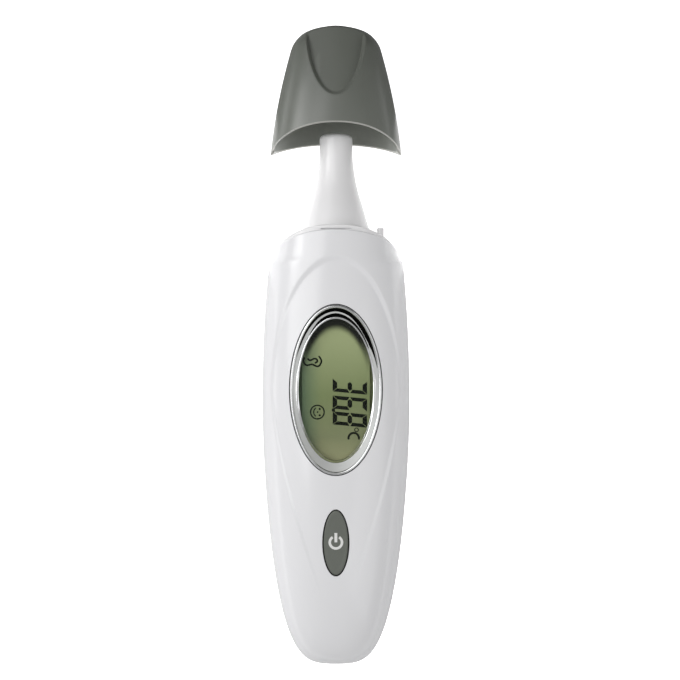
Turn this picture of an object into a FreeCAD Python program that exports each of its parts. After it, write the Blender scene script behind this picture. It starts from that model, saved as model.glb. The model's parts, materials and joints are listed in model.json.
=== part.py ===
import FreeCAD, Part
import math
import os

# Digital ear and forehead thermometer, lying on its back.
# Millimetres. +Z points out of the display, +Y runs along the body to the probe, +X is to the
# right of a reader who looks at the display with the probe up. Z = 0 is the flat of the back.

V = FreeCAD.Vector
Y_AXIS, Z_AXIS = V(0, 1, 0), V(0, 0, 1)
FAR = 90.0  # reach of cutting blocks past the object

# Body, front and rear covers
SEAM_Z = 13.0            # plane where the two covers meet, and the axis of the probe
WIDEST_Y = 9.0           # station of the widest section
HALF_WIDTH = 18.4
FRONT_RISE = 14.0        # crown of the front above the seam
REAR_DROP = 14.6         # depth of the back below the seam before it is cut flat
TAIL_LENGTH = 63.6       # from the widest section to the point the tail tapers towards
TAIL_END = 0.997         # share of that length where the tail ends flat
NECK_REACH = 44.0        # from the widest section to the top of the front cover
FRONT_POWER = 2.3        # roundness of the front half of a section, 2 is an ellipse
REAR_POWER = 3.2
WALL = 1.8
FIT = 0.1                # gap between parts that are assembled and stay put

# Arched edges shared by the covers, the cap and the neck collar
ARCH_POWER, ARCH_ROUND = 2.2, 0.66
SEAT_Y, SEAT_HALF = 46.9, 16.5
SEAT_FRONT_ARCH, SEAT_REAR_ARCH = 6.3, 3.8

# Egg-shaped panel sunk into the front cover
EGG_Y, EGG_HALF, EGG_UP, EGG_DOWN, EGG_DOWN_POWER = 13.85, 16.3, 33.05, 60.0, 1.45
EGG_DEPTH = 0.45
EGG_FADE_FROM, EGG_FADE_TO = -20.0, -34.0

# Display
DISPLAY_Y = 14.2
BEZEL_HALF_X, BEZEL_HALF_Y = 11.3, 20.7
WINDOW_HALF_X, WINDOW_HALF_Y = 9.1, 17.2
WINDOW_Z, WINDOW_THICK = 23.0, 1.2
BEZEL_RIM = 0.7          # width of the bezel's outer rim
LCD_HALF_X, LCD_HALF_Y, LCD_Z, LCD_THICK = 9.5, 17.7, 19.4, 2.4

# Printed circuit board
BOARD_Z, BOARD_THICK = 15.0, 1.2
BOARD_HALF, BOARD_LOW_Y, BOARD_TOP_Y = 12.0, -37.0, 35.5
TONGUE_X, TONGUE_TOP_Y = (9.2, 13.2), 42.6
TAIL_STEP = 4.0          # the board narrows by this much at its lower end
ZEBRA_HALF_X, ZEBRA_HALF_Y = 1.0, 15.5
BLOB_R, BLOB_HEIGHT, BLOB_Y = 5.2, 1.7, 10.0
CHIP_ROWS, CHIP_COLUMNS, CHIP_PITCH = (-30.0, -26.5, -3.5, 0.5), 4, 2.6
CHIP_X, CHIP_LENGTH, CHIP_WIDTH, CHIP_THICK = -8.5, 1.6, 0.8, 0.6
CRYSTAL_X, CRYSTAL_Y, CRYSTAL_R, CRYSTAL_LENGTH = 8.6, 4.0, 1.0, 6.0
BUZZER_X, BUZZER_Y, BUZZER_R, BUZZER_THICK, SOUND_HOLE_R = -7.0, 19.5, 4.3, 3.5, 0.8

# Buttons and their switches
PRESS = 0.3
POWER_Y, POWER_HALF_X, POWER_HALF_Y = -22.9, 3.0, 7.9
SCAN_Y, SCAN_R, SCAN_FACE_Z = 28.0, 5.0, 0.25
DISH_R, DISH_DEPTH = 8.5, 0.5
BUTTON_GAP = 0.22
FLANGE, POWER_FLANGE_Z = 0.9, (21.2, 22.2)
SWITCH_SIZE, SWITCH_THICK, PLUNGER_R, PLUNGER_PROUD = 4.5, 1.2, 0.9, 0.5
SWITCH_FLOOR, PLUNGER_GAP, STEM_R = 0.25, 0.06, 1.35

# Battery bay, a CR2032 cell behind a coin door
BATTERY_Y, CELL_R, CELL_THICK, CELL_Z = -14.0, 10.0, 3.2, 2.8
DOOR_R, DOOR_Z, DOOR_THICK, DOOR_GAP = 11.2, 0.15, 1.55, 0.08
LUG_R, LUG_HALF_ANGLE, LUG_Z, LUG_THICK = 12.3, 14.0, 1.9, 0.7
DOOR_TURN = 40.0
BAY_R, BAY_WALL, BAY_ROOF_Z = 12.6, 1.0, 6.8
CONTACT_X, CONTACT_THICK, CONTACT_SLOT = -8.2, 0.25, 1.8

# Neck collar and probe
NECK_HALF, NECK_DEPTH, NECK_LOW_Y = 15.1, 10.5, 43.0
COLLAR_Y, COLLAR_ARCH, NECK_WALL = 48.0, 6.5, 1.5
PROBE_TIP_Y, PROBE_TIP_R, TIP_ROUND = 77.5, 4.07, 1.2
PROBE_PROFILE = ((70.7, 4.25), (64.7, 5.2), (58.7, 6.95), (55.2, 7.95), (53.2, 8.6))
PROBE_WALL = 0.9
LENS_R, LENS_THICK, LENS_SINK = 2.6, 0.6, 0.3
CORE_R = 7.0             # passage from the body into the probe
NUB_R, NUB_X, NUB_Y, NUB_SINK = 0.5, 4.5, 53.1, 0.75

# Infrared sensor in the probe's tip
CAN_R, CAN_LENGTH, CAN_TOP_Y, CAN_PUPIL_R = 2.2, 3.0, 76.3, 1.3
HEADER_R, HEADER_THICK, LEAD_R, LEAD_LENGTH, LEAD_REACH = 2.35, 0.8, 0.23, 2.8, 1.2
SLEEVE_R, SLEEVE_BORE_R, SLEEVE_TOP_Y, SLEEVE_LENGTH = 2.95, 2.4, 76.4, 9.0
FLEX_HALF, FLEX_THICK = 1.5, 0.15

# Cap-sensing pin in the neck
PIN_X, PIN_R, PIN_TOP_Y, PIN_LOW_Y = 11.1, 0.85, 54.25, 44.6
PIN_FLANGE_Y, PIN_FLANGE_R, PIN_GAP = 49.2, 1.4, 0.07
GUIDE_Y, GUIDE_THICK = 45.2, 1.0
SPRING_R, SPRING_WIRE_R, SPRING_TURNS = 1.15, 0.12, 5

# Cap, shown lifted 25 mm off the body
CAP_RIM_Y, CAP_HEIGHT, CAP_WALL, CAP_TOP_WALL = 72.1, 31.75, 0.9, 1.6
CAP_HALF, CAP_TAPER, CAP_BOW = 16.35, 0.10, 0.0035
CAP_DEPTH, CAP_DEPTH_TAPER, CAP_DEPTH_BOW = 12.2, 0.05, 0.0013
CAP_SHOULDER_FROM, CAP_SHOULDER_R = 26.4, 5.6
CAP_STATIONS = (-1.0, 0.0, 4.0, 8.0, 12.0, 16.0, 20.0, 24.0, 27.0, 29.0, 30.4)
LOFT_GAP = 0.3            # least distance from the last station to the top
CAP_FRONT_ARCH, CAP_REAR_ARCH = 7.1, 4.2
APERTURE_R = 4.75
SCOOP_LENGTH, SCOOP_HALF, SCOOP_RISE, SCOOP_CROWN, SCOOP_CORE_R = 18.0, 7.6, 4.08, 6.6, 15.0
CAP_CROWN_R = 27.0       # curve of the cap's top from side to side
RIB_LOW, RIB_TOP, RIB_HALF_X, RIB_HALF_Z = 7.4, 12.0, 0.9, 0.8

# Screws
CASE_SCREWS = ((0.0, -45.5), (-6.0, 39.3), (6.0, 39.3))
CASE_BOSS_R, CASE_HEAD_R, CASE_HEAD_THICK, CASE_SHANK_R = 2.4, 1.9, 1.2, 0.9
CASE_HEAD_Z = 6.0
BOARD_SCREWS = ((-9.3, -9.8), (9.3, -9.8))
BOARD_BOSS_R, BOARD_HEAD_R, BOARD_SHANK_R = 1.7, 1.5, 0.7


def box(x0, x1, y0, y1, z0, z1):
    return Part.makeBox(x1 - x0, y1 - y0, z1 - z0, V(x0, y0, z0))


def rod(x, y, z0, z1, r):
    return Part.makeCylinder(r, z1 - z0, V(x, y, z0), Z_AXIS)


def along_y(x, z, y0, y1, r):
    return Part.makeCylinder(r, y1 - y0, V(x, y0, z), Y_AXIS)


def above_seam():
    return box(-FAR, FAR, -FAR, 2 * FAR, SEAM_Z, FAR)


def below_seam():
    return box(-FAR, FAR, -FAR, 2 * FAR, -FAR, SEAM_Z)


def ellipse_prism(half_x, half_y, cy, z0, z1):
    """An upright column with an elliptical plan, its long axis along Y."""
    curve = Part.Ellipse(V(0, cy + half_y, z0), V(half_x, cy, z0), V(0, cy, z0))
    return Part.Face(Part.Wire([curve.toShape()])).extrude(V(0, 0, z1 - z0))


def ellipse_funnel(low_x, low_y, z0, top_x, top_y, z1, cy):
    """An upright column whose elliptical plan grows from one level to another."""
    wires = []
    for half_x, half_y, z in ((low_x, low_y, z0), (top_x, top_y, z1)):
        curve = Part.Ellipse(V(0, cy + half_y, z), V(half_x, cy, z), V(0, cy, z))
        wires.append(Part.Wire([curve.toShape()]))
    return Part.makeLoft(wires, True, True)


# ---- sections ------------------------------------------------------------------------------

def oval(y, half_width, rise, drop, front_power=FRONT_POWER, rear_power=REAR_POWER):
    """Closed spline round a section with its own height in front and behind."""
    points = []
    count = 28
    for i in range(count):
        angle = -math.pi / 2 + 2 * math.pi * i / count
        c, s = math.cos(angle), math.sin(angle)
        height, power = (rise, front_power) if s >= 0 else (drop, rear_power)
        radius = (abs(c / half_width) ** power + abs(s / height) ** power) ** (-1 / power)
        points.append(V(radius * c, y, SEAM_Z + radius * s))
    curve = Part.BSplineCurve()
    curve.interpolate(Points=points, PeriodicFlag=True)
    return Part.Wire([curve.toShape()])


def shoulder_drop(y):
    """How far the body's sides draw in where they meet the cap's rim."""
    step = max(0.0, y - 44.4) / 2.0
    return 1.3 * (1 - 1 / (1 + step ** 3))


def body_dims(y, inset):
    """Half-width, front rise and rear drop of the body at a station, set in by inset."""
    width, rise, drop = HALF_WIDTH - inset, FRONT_RISE - inset, REAR_DROP - inset
    if y < WIDEST_Y:
        u = (WIDEST_Y - y) / (TAIL_LENGTH - inset)
        return (width * (1 - u ** 1.55) ** 0.27, rise * (1 - u ** 2.4) ** 0.33,
                drop * (1 - u ** 3) ** 0.45)
    t = (y - WIDEST_Y) / NECK_REACH
    return (width - 2.5 * t ** 2.2 - shoulder_drop(y), rise - 2.25 * t ** 2,
            drop - 2.4 * t ** 2)


def body_stations(inset):
    tail = [TAIL_END, 0.985, 0.955, 0.90, 0.81, 0.69, 0.54, 0.36, 0.18]
    lower = [WIDEST_Y - u * (TAIL_LENGTH - inset) for u in tail]
    return lower + [9.0, 17.0, 25.0, 33.0, 39.0, 43.0, 45.0, 46.5, 48.0, 50.5, 53.5, 57.0]


def body_solid(inset=0.0):
    sections = [oval(y, *body_dims(y, inset)) for y in body_stations(inset)]
    return Part.makeLoft(sections, True, False)


def arch_curve(y, half, height, z):
    """Spline over an arched edge, from its left foot to its right foot."""
    points = []
    count = 14
    for i in range(count + 1):
        x = half * math.sin(math.pi * (i / count - 0.5))
        lift = (1 - min(1.0, abs(x / half)) ** ARCH_POWER) ** ARCH_ROUND
        points.append(V(x, y + height * lift, z))
    curve = Part.BSplineCurve()
    curve.interpolate(points)
    return curve.toShape()


def under_arch(y, half, height, z0, z1):
    """Everything below an arched edge, as an upright block."""
    edge = arch_curve(y, half, height, z0)
    corners = [V(half, y, z0), V(FAR, y, z0), V(FAR, -FAR, z0),
               V(-FAR, -FAR, z0), V(-FAR, y, z0), V(-half, y, z0)]
    lines = [Part.makeLine(a, b) for a, b in zip(corners, corners[1:])]
    return Part.Face(Part.Wire([edge] + lines)).extrude(V(0, 0, z1 - z0))


# ---- covers --------------------------------------------------------------------------------

def egg_half(y):
    if y >= EGG_Y:
        return EGG_HALF * math.sqrt(max(0.0, 1 - ((y - EGG_Y) / EGG_UP) ** 2))
    return EGG_HALF * (1 - ((EGG_Y - y) / EGG_DOWN) ** EGG_DOWN_POWER)


def egg_prism():
    """Upright column over the egg-shaped panel."""
    top, low = EGG_Y + EGG_UP, EGG_FADE_TO - 2.0
    right = []
    count = 16
    for i in range(count + 1):
        y = low + (top - low) * math.sin(math.pi / 2 * i / count)
        right.append(V(egg_half(y), y, 0))
    left = [V(-p.x, p.y, 0) for p in reversed(right[:-1])]
    curve = Part.BSplineCurve()
    curve.interpolate(right + left)
    base = Part.makeLine(left[-1], right[0])
    face = Part.Face(Part.Wire([curve.toShape(), base]))
    face.translate(V(0, 0, SEAM_Z))
    return face.extrude(V(0, 0, FAR))


def panel_core():
    """The body with its front drawn in by the depth of the sunken panel."""
    sections = []
    for y in body_stations(0.0):
        fade = (y - EGG_FADE_TO) / (EGG_FADE_FROM - EGG_FADE_TO)
        inset = EGG_DEPTH * min(1.0, max(-0.3, fade))
        width, rise, drop = body_dims(y, 0.0)
        sections.append(oval(y, width - inset, rise - inset, drop + 1.0))
    return Part.makeLoft(sections, True, False)


def neck_block(grow=0.0):
    """The plug of the neck that the cap slips over."""
    section = oval(NECK_LOW_Y - grow, NECK_HALF + grow, NECK_DEPTH + grow, NECK_DEPTH + grow,
                   FRONT_POWER, FRONT_POWER)
    block = Part.Face(section).extrude(V(0, 20.0, 0))
    return block.common(under_arch(COLLAR_Y, NECK_HALF + grow, COLLAR_ARCH + grow, -FAR, FAR))


def front_cover(outer, inner):
    shell = outer.cut(inner).common(above_seam())
    shell = shell.common(under_arch(SEAT_Y, SEAT_HALF, SEAT_FRONT_ARCH, SEAM_Z - 1, FAR))
    core = panel_core()
    shell = shell.cut(egg_prism().cut(core))
    bosses = [rod(x, y, SEAM_Z, FAR, CASE_BOSS_R) for x, y in CASE_SCREWS]
    bosses += [rod(x, y, BOARD_Z + BOARD_THICK, FAR, BOARD_BOSS_R) for x, y in BOARD_SCREWS]
    shell = shell.fuse([boss.common(core) for boss in bosses])
    shell = shell.cut(neck_block(FIT))
    cuts = [ellipse_prism(BEZEL_HALF_X + FIT, BEZEL_HALF_Y + FIT, DISPLAY_Y, SEAM_Z, FAR),
            ellipse_prism(POWER_HALF_X + BUTTON_GAP, POWER_HALF_Y + BUTTON_GAP, POWER_Y, SEAM_Z, FAR)]
    for x, y in CASE_SCREWS:
        cuts.append(rod(x, y, SEAM_Z - 1, SEAM_Z + 6, CASE_SHANK_R))
    for x, y in BOARD_SCREWS:
        cuts.append(rod(x, y, BOARD_Z, BOARD_Z + BOARD_THICK + 4, BOARD_SHANK_R))
    return shell.cut(cuts)


def dish():
    """Shallow ball that leaves a finger dish in the back."""
    radius = (DISH_R ** 2 + DISH_DEPTH ** 2) / (2 * DISH_DEPTH)
    return Part.makeSphere(radius, V(0, SCAN_Y, DISH_DEPTH - radius))


def sector(r, half_angle, z0, z1, turn):
    """Two opposite wedges of a disc about the door's axis."""
    disc = rod(0, BATTERY_Y, z0, z1, r)
    wide = FAR * math.tan(math.radians(half_angle))
    corners = [V(-FAR, -wide, z0), V(0, 0, z0), V(-FAR, wide, z0), V(-FAR, -wide, z0)]
    wedge = Part.Face(Part.makePolygon(corners)).extrude(V(0, 0, z1 - z0))
    other = wedge.copy()
    other.rotate(V(0, 0, 0), Z_AXIS, 180)
    wedges = wedge.fuse(other)
    wedges.rotate(V(0, 0, 0), Z_AXIS, turn)
    wedges.translate(V(0, BATTERY_Y, 0))
    return disc.common(wedges)


def rear_cover(outer, inner):
    shell = outer.cut(inner).common(below_seam())
    shell = shell.common(box(-FAR, FAR, -FAR, FAR, 0, FAR))
    floor = inner.common(box(-FAR, FAR, -FAR, FAR, 0, WALL))
    bay = rod(0, BATTERY_Y, 0.5, BAY_ROOF_Z + BAY_WALL, BAY_R + BAY_WALL).common(outer)
    bosses = [rod(x, y, 0, SEAM_Z, CASE_BOSS_R).common(outer) for x, y in CASE_SCREWS]
    shell = shell.fuse([floor, bay] + bosses)
    shell = shell.common(under_arch(SEAT_Y, SEAT_HALF, SEAT_REAR_ARCH, -1, SEAM_Z))
    cuts = [rod(0, BATTERY_Y, WALL, BAY_ROOF_Z, BAY_R),
            rod(0, BATTERY_Y, -1, WALL, DOOR_R + DOOR_GAP),
            sector(LUG_R + 0.2, LUG_HALF_ANGLE + 3, -1, WALL, DOOR_TURN),
            rod(0, SCAN_Y, -1, WALL + 1, SCAN_R + BUTTON_GAP), dish(), neck_block(FIT)]
    for x, y in CASE_SCREWS:
        cuts.append(rod(x, y, -1, CASE_HEAD_Z + CASE_HEAD_THICK, CASE_HEAD_R + FIT))
        cuts.append(rod(x, y, 0, SEAM_Z, CASE_SHANK_R + FIT))
    for x, y in ((CONTACT_X, BATTERY_Y), (0, BATTERY_Y + CELL_R)):
        cuts.append(box(x - CONTACT_SLOT, x + CONTACT_SLOT, y - CONTACT_SLOT, y + CONTACT_SLOT,
                        BAY_ROOF_Z - 1, BAY_ROOF_Z + BAY_WALL + 1))
    return shell.cut(cuts)


def screw(x, y, z, head_r, head_thick, shank_r, length):
    """Pan-head screw standing on its head, with a cross recess."""
    body = rod(x, y, z, z + head_thick, head_r).fuse(rod(x, y, z, z + head_thick + length, shank_r))
    arm = head_r * 0.6
    slot = box(x - arm, x + arm, y - 0.2, y + 0.2, z, z + head_thick / 2)
    cross = slot.fuse(box(x - 0.2, x + 0.2, y - arm, y + arm, z, z + head_thick / 2))
    return body.cut(cross)


def case_screws():
    return Part.makeCompound([screw(x, y, CASE_HEAD_Z, CASE_HEAD_R, CASE_HEAD_THICK,
                                    CASE_SHANK_R, 11.0) for x, y in CASE_SCREWS])


def board_screws():
    return Part.makeCompound([screw(x, y, BOARD_Z - 1.0, BOARD_HEAD_R, 1.0, BOARD_SHANK_R, 4.8)
                              for x, y in BOARD_SCREWS])


# ---- display -------------------------------------------------------------------------------

def bezel():
    """Dished chrome ring: a rim level with the panel and a slope down to the window."""
    ring = ellipse_prism(BEZEL_HALF_X, BEZEL_HALF_Y, DISPLAY_Y, WINDOW_Z - 0.6, FAR)
    ring = ring.common(body_solid(EGG_DEPTH - 0.35))
    slope = ellipse_funnel(WINDOW_HALF_X, WINDOW_HALF_Y, WINDOW_Z + WINDOW_THICK,
                           BEZEL_HALF_X - BEZEL_RIM, BEZEL_HALF_Y - BEZEL_RIM, 26.0, DISPLAY_Y)
    above = ellipse_prism(BEZEL_HALF_X - BEZEL_RIM, BEZEL_HALF_Y - BEZEL_RIM, DISPLAY_Y, 26.0, FAR)
    seat = ellipse_prism(WINDOW_HALF_X, WINDOW_HALF_Y, DISPLAY_Y, WINDOW_Z - FAR, 26.0)
    return ring.cut([slope, above, seat])


def display_window():
    return ellipse_prism(WINDOW_HALF_X - 0.05, WINDOW_HALF_Y - 0.05, DISPLAY_Y, WINDOW_Z,
                         WINDOW_Z + WINDOW_THICK)


def display_block(half_x, half_y, z0, z1):
    return box(-half_x, half_x, DISPLAY_Y - half_y, DISPLAY_Y + half_y, z0, z1)


def lcd_panel():
    lower = display_block(LCD_HALF_X, LCD_HALF_Y, LCD_Z, LCD_Z + LCD_THICK / 2)
    upper = display_block(LCD_HALF_X - 1.2, LCD_HALF_Y, LCD_Z + LCD_THICK / 2, LCD_Z + LCD_THICK)
    return lower.fuse(upper)


def lcd_frame():
    top = LCD_Z + LCD_THICK + 0.2
    frame = display_block(LCD_HALF_X + 1.1, LCD_HALF_Y + 1.1, BOARD_Z + BOARD_THICK, top)
    frame = frame.cut(display_block(LCD_HALF_X + 0.05, LCD_HALF_Y + 0.05, LCD_Z, top))
    return frame.cut(display_block(LCD_HALF_X - 0.2, LCD_HALF_Y - 1.0, BOARD_Z, LCD_Z))


def zebra_strips():
    """The two rubber connectors that join the glass to the board."""
    strips = []
    for side in (-1, 1):
        x = side * (LCD_HALF_X - 1.5)
        strips.append(box(x - ZEBRA_HALF_X, x + ZEBRA_HALF_X, DISPLAY_Y - ZEBRA_HALF_Y,
                          DISPLAY_Y + ZEBRA_HALF_Y, BOARD_Z + BOARD_THICK, LCD_Z))
    return Part.makeCompound(strips)


# ---- board ---------------------------------------------------------------------------------

def main_board():
    top = BOARD_Z + BOARD_THICK
    tail_top, tail_half = BOARD_LOW_Y + TAIL_STEP, BOARD_HALF - TAIL_STEP
    board = box(-BOARD_HALF, BOARD_HALF, tail_top, BOARD_TOP_Y, BOARD_Z, top)
    tail = box(-tail_half, tail_half, BOARD_LOW_Y, tail_top, BOARD_Z, top)
    tongue = box(TONGUE_X[0], TONGUE_X[1], BOARD_TOP_Y - 1, TONGUE_TOP_Y, BOARD_Z, top)
    board = board.fuse([tail, tongue]).removeSplitter()
    holes = [rod(x, y, BOARD_Z - 1, BOARD_Z + 3, BOARD_SHANK_R + 0.2) for x, y in BOARD_SCREWS]
    return board.cut(holes)


def controller_blob():
    """Epoxy dome over the bare controller chip, under the board."""
    ball_r = (BLOB_R ** 2 + BLOB_HEIGHT ** 2) / (2 * BLOB_HEIGHT)
    ball = Part.makeSphere(ball_r, V(0, BLOB_Y, BOARD_Z - BLOB_HEIGHT + ball_r))
    return ball.common(box(-FAR, FAR, -FAR, FAR, 0, BOARD_Z))


def board_components():
    """Chip resistors and capacitors under the board."""
    parts = []
    for y in CHIP_ROWS:
        for column in range(CHIP_COLUMNS):
            x = CHIP_X + CHIP_PITCH * column
            parts.append(box(x, x + CHIP_LENGTH, y, y + CHIP_WIDTH, BOARD_Z - CHIP_THICK, BOARD_Z))
    return Part.makeCompound(parts)


def crystal():
    """Watch crystal lying under the board, its can rounded at one end."""
    end = CRYSTAL_Y + CRYSTAL_LENGTH
    can = along_y(CRYSTAL_X, BOARD_Z - CRYSTAL_R - FIT / 2, CRYSTAL_Y, end, CRYSTAL_R)
    edge = [e for e in can.Edges if abs(e.CenterOfMass.y - end) < 0.01]
    return can.makeFillet(CRYSTAL_R * 0.4, edge[:1])


def buzzer():
    """Sounder under the board: a drum with a small sound hole."""
    face_z = BOARD_Z - BUZZER_THICK
    drum = rod(BUZZER_X, BUZZER_Y, face_z, BOARD_Z, BUZZER_R)
    return drum.cut(rod(BUZZER_X, BUZZER_Y, face_z - 1, face_z + 0.5, SOUND_HOLE_R))


def switch_body(x, y, z, up):
    """Tact switch case on a board face, with the well its plunger moves in."""
    half = SWITCH_SIZE / 2
    top = z + up * SWITCH_THICK
    case = box(x - half, x + half, y - half, y + half, min(z, top), max(z, top))
    floor = z + up * SWITCH_FLOOR
    return case.cut(rod(x, y, min(floor, top), max(floor, top), PLUNGER_R + PLUNGER_GAP))


def plunger(x, y, z, up):
    low = z + up * (SWITCH_FLOOR + PRESS + PLUNGER_GAP)
    top = z + up * (SWITCH_THICK + PLUNGER_PROUD)
    return rod(x, y, min(low, top), max(low, top), PLUNGER_R)


# ---- buttons -------------------------------------------------------------------------------

def power_button():
    low, top = POWER_FLANGE_Z
    plate = ellipse_prism(POWER_HALF_X, POWER_HALF_Y, POWER_Y, low, FAR).common(body_solid(FIT))
    flange = ellipse_prism(POWER_HALF_X + FLANGE, POWER_HALF_Y + FLANGE, POWER_Y, low, top)
    stem_z = BOARD_Z + BOARD_THICK + SWITCH_THICK + PLUNGER_PROUD
    return plate.fuse([flange, rod(0, POWER_Y, stem_z, POWER_FLANGE_Z[1], STEM_R)]).removeSplitter()


def scan_button():
    face = rod(0, SCAN_Y, SCAN_FACE_Z, 2.6, SCAN_R)
    rim = [e for e in face.Edges if abs(e.CenterOfMass.z - SCAN_FACE_Z) < 0.01 and e.Closed]
    face = face.makeFillet(0.5, rim[:1])
    flange = rod(0, SCAN_Y, WALL + 0.15, WALL + 1.1, SCAN_R + FLANGE)
    stem = rod(0, SCAN_Y, WALL, BOARD_Z - SWITCH_THICK - PLUNGER_PROUD, STEM_R)
    return face.fuse([flange, stem]).removeSplitter()


# ---- battery bay ---------------------------------------------------------------------------

def battery():
    """Coin cell: a wide cup with the narrower cap of the other pole on it."""
    cup = rod(0, BATTERY_Y, CELL_Z, CELL_Z + 2.7, CELL_R)
    return cup.fuse(rod(0, BATTERY_Y, CELL_Z, CELL_Z + CELL_THICK, CELL_R - 1.4))


def contact_negative():
    """Leaf over the cell with a tail up through the bay's roof to the board."""
    leaf_z = CELL_Z + CELL_THICK + 0.3
    leaf = box(CONTACT_X, 3.0, BATTERY_Y - 1.5, BATTERY_Y + 1.5, leaf_z, leaf_z + CONTACT_THICK)
    tail = box(CONTACT_X, CONTACT_X + CONTACT_THICK, BATTERY_Y - 1.5, BATTERY_Y + 1.5,
               leaf_z, BOARD_Z)
    pad = rod(0, BATTERY_Y, CELL_Z + CELL_THICK, leaf_z + 0.1, 1.2)
    return leaf.fuse([tail, pad]).removeSplitter()


def contact_positive():
    """Side leaf against the cell's wide cup, its tail running up to the board."""
    y = BATTERY_Y + CELL_R
    return box(-1.5, 1.5, y, y + CONTACT_THICK, CELL_Z, BOARD_Z)


def battery_door():
    """Coin-slot disc with two bayonet lugs that lock behind the back wall."""
    disc = rod(0, BATTERY_Y, DOOR_Z, DOOR_Z + DOOR_THICK, DOOR_R)
    neck = rod(0, BATTERY_Y, DOOR_Z + DOOR_THICK, LUG_Z, DOOR_R - 0.6)
    lugs = sector(LUG_R, LUG_HALF_ANGLE, LUG_Z, LUG_Z + LUG_THICK, 0.0)
    hub = rod(0, BATTERY_Y, LUG_Z, LUG_Z + LUG_THICK, DOOR_R - 0.6)
    slot = box(-7.0, 7.0, BATTERY_Y - 0.9, BATTERY_Y + 0.9, -1, DOOR_Z + 0.9)
    return disc.fuse([neck, lugs, hub]).removeSplitter().cut(slot)


# ---- probe ---------------------------------------------------------------------------------

def probe_solid(thin=0.0):
    """Turned ear probe about its axis, thin is how far its surface is drawn in."""
    tip_y = PROBE_TIP_Y - thin
    rounding = TIP_ROUND - min(thin, TIP_ROUND - 0.2)
    side = [V(PROBE_TIP_R - thin, tip_y - rounding, SEAM_Z)]
    side += [V(r - thin, y, SEAM_Z) for y, r in PROBE_PROFILE]
    flank = Part.BSplineCurve()
    flank.interpolate(side)
    turn = rounding * (1 - math.sqrt(0.5))
    corner = Part.Arc(V(PROBE_TIP_R - thin - rounding, tip_y, SEAM_Z),
                      V(PROBE_TIP_R - thin - turn, tip_y - turn, SEAM_Z), side[0])
    low = V(side[-1].x, COLLAR_Y, SEAM_Z)
    edges = [Part.makeLine(V(0, tip_y, SEAM_Z), corner.StartPoint), corner.toShape(),
             flank.toShape(), Part.makeLine(side[-1], low),
             Part.makeLine(low, V(0, COLLAR_Y, SEAM_Z)),
             Part.makeLine(V(0, COLLAR_Y, SEAM_Z), V(0, tip_y, SEAM_Z))]
    face = Part.Face(Part.Wire(edges))
    return face.revolve(V(0, 0, SEAM_Z), Y_AXIS, 360)


def probe_shell():
    """Ear probe and the neck collar it grows from, in one moulding."""
    collar = neck_block()
    room = oval(NECK_LOW_Y - 1, NECK_HALF - NECK_WALL, NECK_DEPTH - NECK_WALL, NECK_DEPTH - NECK_WALL,
                FRONT_POWER, FRONT_POWER)
    hollow = Part.Face(room).extrude(V(0, 20.0, 0)).common(
        under_arch(COLLAR_Y, NECK_HALF - NECK_WALL, COLLAR_ARCH - NECK_WALL, -FAR, FAR))
    bridge = box(PIN_X - 2.2, NECK_HALF - 0.4, GUIDE_Y, GUIDE_Y + GUIDE_THICK, SEAM_Z - 2.2, SEAM_Z + 2.2)
    bridge = bridge.common(hollow)
    shell = collar.cut(hollow).fuse([bridge, probe_solid()])
    bore = probe_solid(PROBE_WALL)
    cuts = [bore, along_y(0, SEAM_Z, PROBE_TIP_Y - 2, PROBE_TIP_Y + 1, LENS_R),
            along_y(PIN_X, SEAM_Z, GUIDE_Y - 1, PIN_TOP_Y + 2, PIN_R + PIN_GAP),
            along_y(0, SEAM_Z, NECK_LOW_Y, COLLAR_Y + 1, CORE_R)]
    nub = Part.makeSphere(NUB_R, V(NUB_X, NUB_Y, SEAM_Z + NECK_DEPTH - NUB_SINK))
    return shell.cut(cuts).fuse(nub)


def ir_window():
    top = PROBE_TIP_Y - LENS_SINK
    return along_y(0, SEAM_Z, top - LENS_THICK, top, LENS_R - 0.03)


def sensor_sleeve():
    """Metal sleeve that evens out the temperature round the sensor."""
    low, top = SLEEVE_TOP_Y - SLEEVE_LENGTH, SLEEVE_TOP_Y
    return along_y(0, SEAM_Z, low, top, SLEEVE_R).cut(along_y(0, SEAM_Z, low, top, SLEEVE_BORE_R))


def sensor_can():
    can = along_y(0, SEAM_Z, CAN_TOP_Y - CAN_LENGTH, CAN_TOP_Y, CAN_R)
    return can.cut(along_y(0, SEAM_Z, CAN_TOP_Y - 0.4, CAN_TOP_Y, CAN_PUPIL_R))


def sensor_header():
    top = CAN_TOP_Y - CAN_LENGTH
    low = top - HEADER_THICK
    header = along_y(0, SEAM_Z, low, top, HEADER_R)
    leads = [along_y(x * LEAD_REACH, SEAM_Z + z * LEAD_REACH, low - LEAD_LENGTH, low, LEAD_R)
             for x, z in ((1, 0), (-1, 0), (0, 1), (0, -1))]
    return header.fuse(leads)


def sensor_flex():
    """Flexible strip from the sensor down the probe to the board's edge."""
    top = CAN_TOP_Y - CAN_LENGTH - HEADER_THICK - LEAD_LENGTH
    low = BOARD_Z - FLEX_THICK
    route = ((top, SEAM_Z), (BOARD_TOP_Y + 4.5, SEAM_Z), (BOARD_TOP_Y + 1.5, low),
             (BOARD_TOP_Y - 3.5, low))
    side = [V(-FLEX_HALF, y, z) for y, z in route]
    back = [V(p.x, p.y, p.z + FLEX_THICK) for p in reversed(side)]
    outline = Part.makePolygon(side + back + side[:1])
    return Part.Face(outline).extrude(V(2 * FLEX_HALF, 0, 0))


# ---- cap-sensing pin -----------------------------------------------------------------------

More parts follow.
